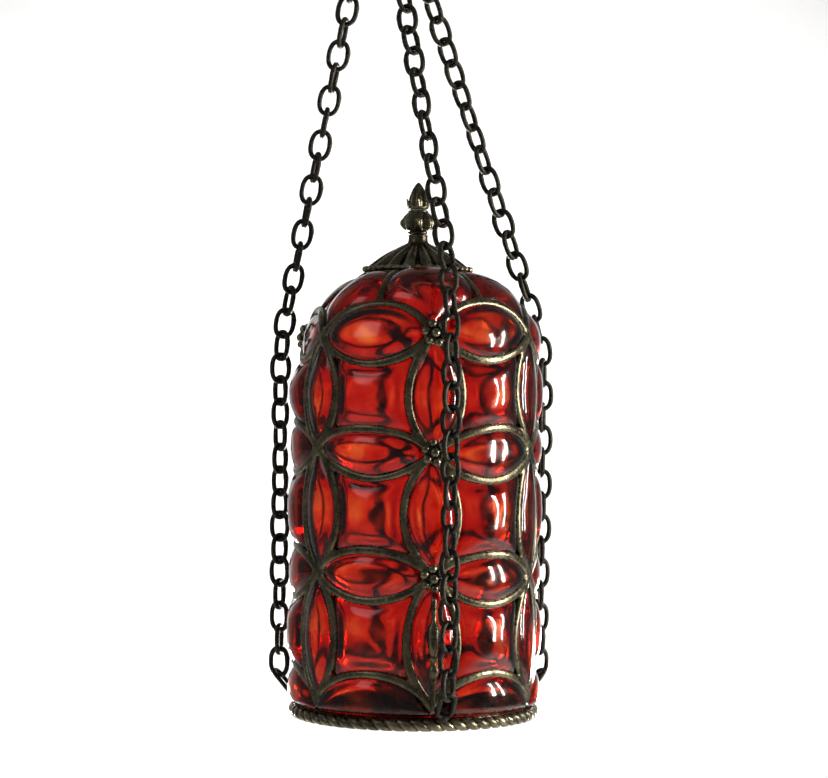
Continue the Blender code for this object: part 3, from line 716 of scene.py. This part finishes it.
def make_finial_spear(material):
    """A spear of fluted leaves with small curled tips at its widest."""
    profile = [
        (0.2, 252.6), (4.7, 252.6), (5.1, 253.2), (5.5, 254.6), (5.5, 256.2), (5.0, 258.4),
        (4.3, 260.4), (3.4, 262.4), (2.3, 264.2), (1.2, 265.6), (0.2, 266.3),
    ]
    spear = Shape()
    spear.add_turned(profile, 96, 0.4, flute=flutes(6, 0.2, 0.7, (253.4, 1.5), shift=math.pi / 2))
    for n in range(6):
        part = np.linspace(0, 1, 8)
        radius = (4.9 + 1.75 * part**0.8) * MM
        height = (254.4 + 2.2 * part + 1.4 * part**2) * MM
        points = round_axis(60.0 * n, radius, height)
        thick = (1.25 - 1.0 * part) * MM
        spear.add_grid(swept(points, np.tile(heading(60 * n + 90), (8, 1)), thick, thick, 8))
    spear.piece("spear_tip", material, "finial", "antique_bronze", ["finial_spear"])


# The chains. Each runs from its lug up the cage to a bend, and on to its screw eye on the crown.
# CHAIN_TWIST is how far its first and last links are turned, in degrees from face-on.

LINK_WIRE = 1.25 * MM
LINK_HALF_WIDTH = 4.6 * MM
LINK_PITCH = 11.5 * MM
CHAIN_TWIST = {"front": (42, 42), "right": (90, 0), "left": (90, 0)}
EYE_TURN = {"front": 0, "right": 0, "left": 90}
LUG_WIRE = 1.1 * MM
LUG_LOOP = 3.5 * MM
LUG_FOOT = (65.8 * MM, 10.0 * MM)
LUG_HEAD = (71.9 * MM, 16.7 * MM)
BEND_HEIGHT = 186 * MM
BEND_RADIUS = 72.8 * MM
FRONT_REST = (63 * MM, 224 * MM)
HELD = LUG_LOOP - LUG_WIRE - LINK_WIRE


def chain_azimuth(name):
    lug = place_of(f"chain_lug_{name}").middle - AXIS
    return math.degrees(math.atan2(lug.x, -lug.y))


def chain_path(name):
    """Points along a chain, from inside its lug to inside its screw eye."""
    azimuth = chain_azimuth(name)
    start = round_axis(azimuth, *LUG_HEAD) + (0, 0, HELD)
    bend = round_axis(azimuth, BEND_RADIUS, BEND_HEIGHT)
    hook = place_of(f"crown_hook_{name}")
    end = np.array((hook.middle.x, hook.middle.y, hook.low.z + LUG_WIRE + LUG_LOOP - HELD))
    path = [start, bend, end]
    if name == "front":
        path.insert(2, round_axis(azimuth, *FRONT_REST))
    return softened(path, 16 * MM)


def softened(path, reach):
    """A path of straight runs with each bend spread over this reach on either side."""
    line = [path[:1]]
    for before, corner, after in zip(path, path[1:], path[2:]):
        start, end = corner + unit(before - corner) * reach, corner + unit(after - corner) * reach
        line.append(curve(start, corner, end, 8))
    return np.concatenate([*line, path[-1:]])


def spot_on(path, distance):
    """The point at a distance along a path, and the way it runs there."""
    steps = np.linalg.norm(np.diff(path, axis=0), axis=1)
    travelled = np.concatenate([[0], np.cumsum(steps)])
    n = int(np.clip(np.searchsorted(travelled, distance, "right") - 1, 0, len(steps) - 1))
    along = (path[n + 1] - path[n]) / steps[n]
    return path[n] + along * (distance - travelled[n]), along


def add_link(shape, centre, along, across, half_length, seed):
    """One oval link of round wire, with the thicker spot where its ends were forged together."""
    angle = full_turn(28)
    wide, long = squared(np.cos(angle), 0.84), squared(np.sin(angle), 0.84)
    width = LINK_HALF_WIDTH * (1 + 0.03 * math.sin(seed * 3.1))
    points = centre + across * (wide * width)[:, None] + along * (long * half_length)[:, None]
    weld = np.exp(-(((angle - 0.25) / 0.16) ** 2))
    thick = LINK_WIRE * (1 + 0.13 * weld + 0.03 * np.sin(3 * angle + seed))
    shape.add_grid(swept(points, points - centre, thick, thick, 10, closed=True), closed=True)


def make_chain(name, material):
    """Links that stand face-on and edge-on by turns, each a little out of true."""
    path = chain_path(name)
    azimuth = chain_azimuth(name)
    length = np.linalg.norm(np.diff(path, axis=0), axis=1).sum()
    count = round(length / LINK_PITCH)
    pitch = length / (count + (2 * LINK_WIRE - 0.1 * MM) / LINK_PITCH)
    half_length = (pitch + 2 * LINK_WIRE) / 2
    sideways = heading(azimuth + 90)
    split = place_of(f"chain_{name}_upper").low.z
    runs = {"lower": Shape(), "upper": Shape()}
    for n in range(count):
        centre, along = spot_on(path, half_length - LINK_WIRE + pitch * n)
        across = unit(sideways - along * sideways.dot(along))
        twist = np.interp(n, (0, count - 1), CHAIN_TWIST[name])
        turn = math.radians(twist + 90 * (n % 2) + 9 * math.sin(n * 2.4 + azimuth))
        across = across * math.cos(turn) + np.cross(along, across) * math.sin(turn)
        run = "upper" if centre[2] - half_length > split - 2 * MM else "lower"
        add_link(runs[run], centre, along, across, half_length, n + azimuth)
    for run, shape in runs.items():
        shape.piece(f"links_{name}_{run}", material, "lantern", "black_iron", [f"chain_{name}_{run}"])


def add_ring(shape, centre, across, up, radius, wire, half_straight=0.0, steps=40):
    """A ring of round wire, stretched along up by a straight on either side."""
    angle = full_turn(steps)
    rise = np.sin(angle) * radius + np.sign(np.sin(angle)) * half_straight
    points = centre + across * (np.cos(angle) * radius)[:, None] + up * rise[:, None]
    shape.add_grid(swept(points, points - centre, wire, wire, 14, closed=True), closed=True)


def make_lug(name, material):
    """A narrow loop that leans out from the base ring, on a blob of solder."""
    azimuth = chain_azimuth(name)
    foot, head = round_axis(azimuth, *LUG_FOOT), round_axis(azimuth, *LUG_HEAD)
    up, out, side = unit(head - foot), heading(azimuth), heading(azimuth + 90)
    lug = Shape()
    add_ring(lug, (foot + head) / 2, side, up, LUG_LOOP, LUG_WIRE, np.linalg.norm(head - foot) / 2)
    add_ball(lug, foot - up * LUG_LOOP - out * 0.9 * MM, out, UP, 2.9 * MM, 0.75)
    lug.piece(f"ring_lug_{name}", material, "lantern", "black_iron", [f"chain_lug_{name}"])


def make_crown_hook(name, material):
    """A screw eye under the crown, with its collar against the crown's underside."""
    node = f"crown_hook_{name}"
    place = place_of(node)
    across = heading(chain_azimuth(name) + EYE_TURN[name])
    centre = np.array((place.middle.x, place.middle.y, place.low.z + LUG_WIRE + LUG_LOOP))
    hook = Shape()
    add_ring(hook, centre, across, UP, LUG_LOOP, LUG_WIRE)
    top = (place.high.z - AXIS.z) / MM
    stem = [(0.2, top - 2.2), (1.6, top - 2.0), (2.3, top - 1.2), (2.4, top), (0.2, top)]
    hook.add_turned(stem, 24, axis=axis_through(node))
    hook.piece(f"screw_eye_{name}", material, "lantern", "black_iron", [node])


# The crown and what it hangs from.


def make_crown_dome(material):
    """The dome that gathers the chains."""
    profile = [
        (2.6, 390.1), (19.6, 390.0), (20.4, 390.4), (20.6, 391.2), (20.2, 392.2), (19.2, 392.6),
        (18.3, 393.0), (16.8, 394.9), (14.2, 397.1), (11.4, 398.8), (9.6, 399.5), (8.8, 399.7),
        (8.4, 400.4), (6.6, 401.0), (5.0, 401.4), (4.6, 402.0), (4.5, 402.8), (2.6, 403.0),
    ]
    crown = Shape()
    scallops = flutes(12, 0.06, 0.8, (393.2, 1), (399.4, 1))
    crown.add_turned(profile, 144, 0.4, CROWN_AXIS, scallops, closed=True)
    crown.piece("crown_dome", material, "lantern", "antique_bronze", ["crown"])


def make_crown_knob(material):
    """The gadrooned knob that hangs below the crown."""
    profile = [
        (0.2, 388.1), (2.4, 388.1), (2.4, 389.7), (4.5, 389.6), (4.6, 388.4), (3.2, 387.2),
        (2.9, 386.2), (3.6, 384.8), (5.1, 382.6), (5.4, 380.6), (5.0, 378.4), (3.9, 376),
        (2.7, 374.2), (2.4, 373.4), (3.3, 372.4), (3.4, 371.4), (2.8, 370.2), (2.0, 369.2),
        (1.9, 368.2), (2.5, 366.8), (2.3, 365.2), (1.6, 362.8), (1.0, 360.2), (0.7, 358.4),
        (0.2, 357.6),
    ]
    knob = Shape()
    knob.add_turned(profile, 100, 0.4, CROWN_AXIS, flutes(10, 0.1, 0.8, (374.5, 2), (386, 2)))
    knob.piece("crown_knob", material, "swivel", "antique_bronze", ["crown_drop"])


EYE_WIRE = 1.6 * MM
RING_WIRE = 1.75 * MM


def make_swivel(material):
    """The eye that the ring passes through, on a shank that turns in the crown."""
    eye = place_of("swivel_eye")
    radius = (eye.high.y - eye.low.y) / 2 - EYE_WIRE
    centre = np.array((eye.middle.x, eye.middle.y, eye.high.z - radius - EYE_WIRE))
    swivel = Shape()
    add_ring(swivel, centre, np.array((0, 1.0, 0)), UP, radius, EYE_WIRE)
    shank = [
        (0.2, 388.5), (2.2, 388.5), (2.2, 403.3), (4.0, 403.3), (4.2, 403.6), (4.2, 404.7),
        (3.9, 405.0), (2.6, 405.3), (2.0, 405.9), (0.2, 406.2),
    ]
    swivel.add_turned(shank, 48, 0.15, CROWN_AXIS)
    swivel.piece("swivel", material, "swivel", "black_iron", ["swivel_eye"])


def make_hanging_ring(material):
    """The ring that the hook goes through."""
    ring = place_of("hanging_ring")
    hoop = Shape()
    radius = ring.radius - RING_WIRE
    add_ring(hoop, np.array(ring.middle), np.array((1.0, 0, 0)), UP, radius, RING_WIRE, steps=72)
    hoop.piece("hoop", material, "hanging_ring", "black_iron", ["hanging_ring"])


# The light.


def make_candle_cup(material):
    """The rimmed cup on the tray, which the tealight stands in."""
    profile = [
        (0.2, 2.3), (20.5, 2.3), (20.8, 2.6), (20.8, 11.6), (21.1, 12), (21.7, 12.1), (21.8, 12.5),
        (21.5, 12.8), (20.2, 12.8), (19.8, 12.4), (19.8, 3.5), (0.2, 3.5),
    ]
    cup = Shape()
    cup.add_turned(profile, 96)
    cup.piece("tealight_cup", material, "candle_tray", "antique_bronze", ["candle_cup"])


def make_tealight_case(material):
    """A thin foil case with crimps down its side."""
    profile = [
        (0.2, 3.9), (18.6, 3.9), (19.0, 4.3), (19.2, 18.9), (19.2, 19.3), (18.95, 19.5),
        (18.8, 19.3), (18.6, 4.6), (18.4, 4.4), (0.2, 4.4),
    ]

    def crimps(angle, height):
        return 1 - 0.012 * (height > 4.4 * MM) * np.abs(np.sin(24 * angle))

    case = Shape()
    case.add_turned(profile, 288, flute=crimps)
    case.piece("tealight_cup_foil", material, "tealight", "tealight_tin", ["tealight_case"])


def make_wax(material):
    """Unburnt wax, dished towards the wick's hole."""
    profile = [
        (0.2, 4.8), (18.1, 4.8), (18.2, 17.0), (18.1, 17.5), (17.4, 17.3), (15.0, 17.05),
        (9.0, 16.9), (5.0, 16.8), (2.6, 16.5), (1.3, 16.2), (1.1, 15.8), (1.1, 12), (0.2, 12),
    ]
    wax = Shape()
    wax.add_turned(profile, 96)
    wax.piece("wax", material, "tealight", "candle_wax", ["tealight_wax"])


def make_wick(material):
    """A braided wick that leans a little to one side."""
    wick = Shape()
    rise = np.linspace(0, 1, 24)
    path = np.stack((rise**2 * 0.25, rise * 0, 12.5 + 12.2 * rise), axis=-1)
    points = np.array(AXIS) + path * MM
    twist = (0.52 + 0.08 * np.sin(rise * 40)) * MM
    wick.add_grid(swept(points, np.tile((0, 1.0, 0), (24, 1)), twist, twist, 10))
    wick.piece("wick", material, "tealight", "wick_cotton", ["tealight_wick"])


# Materials. Their patterns are laid out in metres, in the frame that all the pieces share.


class Paint:
    """A material's nodes round its Principled shader."""

    def __init__(self, name, **settings):
        self.material = bpy.data.materials.new(name)
        self.material.use_nodes = True
        self.tree = self.material.node_tree
        self.shader = self.tree.nodes["Principled BSDF"]
        for socket, value in settings.items():
            self.shader.inputs[socket.replace("_", " ")].default_value = value
        self.place = self.tree.nodes.new("ShaderNodeTexCoord").outputs["Object"]

    def node(self, kind, links=(), **settings):
        node = self.tree.nodes.new(kind)
        for name, value in settings.items():
            setattr(node, name, value)
        for socket, source in dict(links).items():
            self.join(source, node.inputs[socket])
        return node

    def join(self, source, socket):
        if isinstance(source, bpy.types.NodeSocket):
            self.tree.links.new(source, socket)
        else:
            socket.default_value = source

    def noise(self, size, detail=3.0, roughness=0.55, distortion=0.0, stretch=None):
        """A cloudy pattern whose blots are about this size."""
        place = self.place
        if stretch:
            place = self.node("ShaderNodeMapping", {"Vector": place, "Scale": stretch}).outputs["Vector"]
        links = {"Scale": 1 / size, "Detail": detail, "Roughness": roughness, "Distortion": distortion}
        return self.node("ShaderNodeTexNoise", {"Vector": place, **links}).outputs["Fac"]

    def spread(self, source, low, high, start=0.0, end=1.0):
        """A value's stretch from low to high, spread over start to end."""
        links = {"Value": source, "From Min": low, "From Max": high, "To Min": start, "To Max": end}
        node = self.node("ShaderNodeMapRange", links, interpolation_type="SMOOTHSTEP")
        return node.outputs["Result"]

    def mixed(self, share, first, second):
        """Two colours mixed by a share. The node's colour sockets are inputs 6 and 7 and output 2."""
        colours = [(*c, 1) if isinstance(c, tuple) else c for c in (first, second)]
        links = {"Factor": share, 6: colours[0], 7: colours[1]}
        return self.node("ShaderNodeMix", links, data_type="RGBA").outputs[2]

    def maths(self, operation, first, second):
        return self.node("ShaderNodeMath", {0: first, 1: second}, operation=operation).outputs[0]

    def edges(self):
        """From 0 in the hollows to 1 on the ridges."""
        return self.node("ShaderNodeNewGeometry").outputs["Pointiness"]

    def set(self, **links):
        for socket, source in links.items():
            self.join(source, self.shader.inputs[socket.replace("_", " ")])

    def bump(self, source, depth, strength):
        links = {"Height": source, "Distance": depth, "Strength": strength}
        self.set(Normal=self.node("ShaderNodeBump", links).outputs["Normal"])


def bronze_paint():
    """Dark olive-brown bronze, yellower where it's rubbed, with blots of green patina, and painted shade
    that darkens its hollows and nooks nearly to black.
    """
    paint = Paint("antique_bronze_metal", IOR=1.45)
    clouds = paint.noise(14 * MM, 3)
    grain = paint.noise(1.6 * MM, 4, 0.5)
    ridge = paint.spread(paint.edges(), 0.5, 0.58)
    # hollow marks the concave places that are given painted shade below.
    hollow = paint.spread(paint.edges(), 0.495, 0.43)
    body = paint.mixed(paint.spread(clouds, 0.35, 0.65), (0.05, 0.043, 0.025), (0.175, 0.152, 0.092))
    body = paint.mixed(paint.spread(grain, 0.45, 0.75, 0, 0.35), body, (0.26, 0.22, 0.12))
    worn = paint.maths("MULTIPLY", ridge, paint.spread(paint.noise(5 * MM, 3), 0.36, 0.62, 0.15, 0.6))
    body = paint.mixed(worn, body, (0.55, 0.49, 0.36))
    # Painted shade: the concave hollows and the nooks found by ambient occlusion are darkened nearly to
    # black, standing in for shade in grooves and recesses.
    occlusion_shade = paint.node("ShaderNodeAmbientOcclusion", {"Distance": 3 * MM}, samples=6, only_local=True)
    occlusion_shade = paint.spread(occlusion_shade.outputs["AO"], 0.85, 0.3)
    painted_shade = paint.maths("MULTIPLY", paint.maths("MAXIMUM", hollow, occlusion_shade), 0.92)
    body = paint.mixed(painted_shade, body, (0.006, 0.005, 0.0035))
    blots = paint.spread(paint.noise(8 * MM, 4, 0.6, 0.6), 0.6, 0.7)
    patina = paint.maths("MULTIPLY", blots, paint.spread(paint.noise(1.5 * MM, 3), 0.4, 0.6))
    patina = paint.maths("MULTIPLY", patina, 0.7)
    body = paint.mixed(patina, body, (0.05, 0.085, 0.045))
    rough = paint.spread(grain, 0.3, 0.75, 0.2, 0.4)
    rough = paint.maths("ADD", rough, paint.maths("MULTIPLY", patina, 0.35))
    paint.set(Base_Color=body, Roughness=rough)
    paint.set(Metallic=paint.maths("SUBTRACT", 0.92, paint.maths("MULTIPLY", patina, 0.8)))
    relief_map = paint.maths("ADD", paint.noise(2.6 * MM, 3), paint.maths("MULTIPLY", grain, 0.45))
    paint.bump(relief_map, 0.35 * MM, 0.3)
    return paint.material


def iron_paint():
    """Blackened iron wire, rubbed grey on its outsides, with a little brown rust between."""
    paint = Paint("blackened_iron", Metallic=0.85)
    grain = paint.noise(0.7 * MM, 5, 0.65)
    clouds = paint.spread(paint.noise(6 * MM, 3), 0.35, 0.65)
    body = paint.mixed(clouds, (0.005, 0.0045, 0.004), (0.014, 0.0125, 0.0105))
    ridge = paint.spread(paint.edges(), 0.5, 0.56)
    rubbed = paint.maths("MULTIPLY", ridge, paint.spread(grain, 0.4, 0.62))
    body = paint.mixed(rubbed, body, (0.085, 0.076, 0.06))
    rust = paint.spread(paint.noise(2.4 * MM, 4, 0.6), 0.6, 0.72, 0, 0.6)
    body = paint.mixed(rust, body, (0.03, 0.016, 0.009))
    paint.set(Base_Color=body, Roughness=paint.spread(grain, 0.3, 0.7, 0.33, 0.6))
    paint.bump(grain, 0.16 * MM, 0.5)
    return paint.material


def glass_paint():
    """Clear ruby glass whose colour deepens with its thickness, with faint waves and seeds. Where it's
    blown thin its tint goes light amber in patches, a painted glow standing in for light shining
    through.
    """
    paint = Paint("ruby_glass", Transmission_Weight=1.0, IOR=1.5)
    waves = paint.noise(7 * MM, 2, 0.4, 0.3)
    cells = paint.node("ShaderNodeTexVoronoi", {"Vector": paint.place, "Scale": 1 / (5 * MM)})
    seeds = paint.spread(cells.outputs["Distance"], 0.03, 0.08, 0.25, 0)
    # Painted glow: where the glass is blown thin, in patches, the tint goes light amber, standing in for
    # light shining through it.
    thin = paint.node("ShaderNodeAttribute", attribute_name="blown_thin").outputs["Fac"]
    glow_patches = paint.spread(paint.noise(13 * MM, 2), 0.3, 0.66)
    thin = paint.maths("MULTIPLY", paint.spread(thin, 0.1, 1), glow_patches)
    glow_tint = paint.mixed(thin, (0.74, 0.1, 0.085), (1.0, 0.73, 0.4))
    paint.set(Base_Color=glow_tint, Roughness=paint.spread(waves, 0.3, 0.7, 0.05, 0.14))
    paint.bump(paint.maths("ADD", waves, seeds), 0.25 * MM, 0.35)
    depth = paint.node("ShaderNodeVolumeAbsorption", {"Color": (0.885, 0.7, 0.6, 1), "Density": 1500})
    paint.join(depth.outputs["Volume"], paint.tree.nodes["Material Output"].inputs["Volume"])
    return paint.material


def tin_paint():
    """Thin pressed foil with rolling lines."""
    paint = Paint("tealight_foil", Metallic=1.0)
    lines = paint.noise(0.8 * MM, 3, 0.6, 0, (1, 1, 0.06))
    body = paint.mixed(lines, (0.62, 0.62, 0.61), (0.82, 0.82, 0.81))
    paint.set(Base_Color=body, Roughness=paint.spread(lines, 0.3, 0.7, 0.22, 0.4))
    paint.bump(lines, 0.05 * MM, 0.4)
    return paint.material


def wax_paint():
    """Soft paraffin wax, a little cloudy."""
    paint = Paint("paraffin_wax", Subsurface_Weight=0.6, Subsurface_Scale=2 * MM, IOR=1.44)
    clouds = paint.noise(4 * MM, 4)
    body = paint.mixed(paint.spread(clouds, 0.3, 0.7), (0.74, 0.69, 0.58), (0.86, 0.82, 0.73))
    paint.set(Base_Color=body, Roughness=paint.spread(clouds, 0.3, 0.7, 0.34, 0.5))
    paint.bump(clouds, 0.1 * MM, 0.3)
    return paint.material


def wick_paint():
    """Waxed cotton braid."""
    paint = Paint("wick_braid", Sheen_Weight=0.3)
    links = {"Vector": paint.place, "Scale": 0.35 / MM, "Distortion": 2.0}
    braid = paint.node("ShaderNodeTexWave", links, bands_direction="DIAGONAL")
    fibre = braid.outputs["Fac"]
    paint.set(Base_Color=paint.mixed(fibre, (0.5, 0.46, 0.38), (0.74, 0.7, 0.62)))
    paint.set(Roughness=paint.spread(fibre, 0, 1, 0.95, 0.8))
    paint.bump(fibre, 0.08 * MM, 0.6)
    return paint.material


def backdrop_paint():
    """Matt pale grey, a little cloudy."""
    paint = Paint("pale_backdrop", Roughness=0.95)
    paint.set(Base_Color=paint.mixed(paint.noise(0.3, 2), (0.9, 0.9, 0.9), (0.94, 0.94, 0.94)))
    return paint.material


# The stage.

FLOOR_BELOW = 0.34
FLOOR_FRONT = -2.4
WALL_BACK = 1.9
WALL_TOP = 2.6
WALL_SIDE = 2.6
SWEEP = 0.5


def make_backdrop():
    """A pale floor that curves up into a wall."""
    floor, start = AXIS.z - FLOOR_BELOW, WALL_BACK - SWEEP
    line = [(FLOOR_FRONT, floor)]
    for angle in np.linspace(0, math.pi / 2, 16):
        line.append((start + SWEEP * math.sin(angle), floor + SWEEP * (1 - math.cos(angle))))
    line.append((WALL_BACK, WALL_TOP))
    points = [(x, y, z) for y, z in line for x in (-WALL_SIDE, WALL_SIDE)]
    mesh = bpy.data.meshes.new("backdrop")
    strips = [(2 * n, 2 * n + 1, 2 * n + 3, 2 * n + 2) for n in range(len(line) - 1)]
    mesh.from_pydata(points, [], strips)
    mesh.shade_smooth()
    mesh.materials.append(backdrop_paint())
    backdrop = bpy.data.objects.new("backdrop", mesh)
    bpy.context.scene.collection.objects.link(backdrop)


WORLD_LIGHT = 0.15
WINDOW = (1.0, 0.97, 0.92)
WARM = (1.0, 0.96, 0.86)
COOL = (0.95, 0.98, 1.0)
WHITE = (1.0, 1.0, 1.0)


def make_lights():
    """Two window strips on the right, a fill, warm lamps behind the glass, and lamps for the wall."""
    world = bpy.data.worlds.new("studio")
    bpy.context.scene.world = world
    world.use_nodes = True
    sky = world.node_tree.nodes["Background"]
    sky.inputs["Color"].default_value = (1, 1, 1, 1)
    sky.inputs["Strength"].default_value = WORLD_LIGHT
    heart = AXIS + Vector((0, 0, 0.13))
    wall = Vector((0, 1.8, -0.3))
    add_light("window_near", heart, (1.0, -0.3, 0.1), (0.06, 0.6), 7, WINDOW)
    add_light("window_far", heart, (1.1, -0.05, 0.1), (0.06, 0.6), 6, WINDOW)
    add_light("fill", heart, (-1.1, -0.9, 0.8), (0.6, 0.6), 1.4, COOL)
    add_light("back_left", heart, (-0.3, 0.95, -0.3), (0.13, 0.13), 9, WARM)
    add_light("back_right", heart, (0.35, 0.9, -0.25), (0.13, 0.13), 9, WARM)
    add_light("wall_left", wall, (-1.1, -1.2, 0.3), (0.5, 0.5), 4.4, WHITE, 75)
    add_light("wall_right", wall, (1.1, -1.2, 0.3), (0.5, 0.5), 4.4, WHITE, 75)


def add_light(name, target, offset, size, power, colour, spread=170):
    """An area lamp at an offset from what it points at."""
    light = bpy.data.lights.new(name, "AREA")
    light.shape = "RECTANGLE"
    light.size, light.size_y = size
    light.energy = power
    light.color = colour
    light.spread = math.radians(spread)
    lamp = bpy.data.objects.new(name, light)
    lamp.location = target + Vector(offset)
    lamp.rotation_mode = "QUATERNION"
    lamp.rotation_quaternion = Vector(offset).to_track_quat("Z", "Y")
    bpy.context.scene.collection.objects.link(lamp)


CAMERA_OFFSET = Vector((-1.3 * MM, -1.2, 163 * MM))
CAMERA_LENS = 104.3
CAMERA_ROLL = -0.56


def make_camera():
    """A level camera in front of the lantern, rolled a little."""
    data = bpy.data.cameras.new("camera")
    data.lens = CAMERA_LENS
    data.sensor_width = 36
    camera = bpy.data.objects.new("camera", data)
    camera.location = AXIS + CAMERA_OFFSET
    camera.rotation_euler = (math.pi / 2, math.radians(CAMERA_ROLL), 0)
    scene = bpy.context.scene
    scene.collection.objects.link(camera)
    scene.camera = camera
    scene.view_settings.view_transform = "Standard"


def main():
    bronze, iron = bronze_paint(), iron_paint()
    make_glass(glass_paint())
    make_cage(bronze)
    for name in CHAIN_COLUMNS:
        for row in ("low", "middle", "top"):
            make_rosette(name, row, bronze)
        make_drop(name, bronze)
        make_chain(name, iron)
        make_lug(name, iron)
        make_crown_hook(name, iron)
    make_rope_ring(bronze)
    make_gallery(bronze)
    make_tray(bronze)
    make_collar(bronze)
    make_bridge(bronze)
    make_cap(bronze)
    make_cap_beads(bronze)
    make_finial_bud(bronze)
    make_finial_spear(bronze)
    make_crown_dome(bronze)
    make_crown_knob(bronze)
    make_swivel(iron)
    make_hanging_ring(iron)
    make_candle_cup(bronze)
    make_tealight_case(tin_paint())
    make_wax(wax_paint())
    make_wick(wick_paint())
    make_backdrop()
    make_lights()
    make_camera()


main()
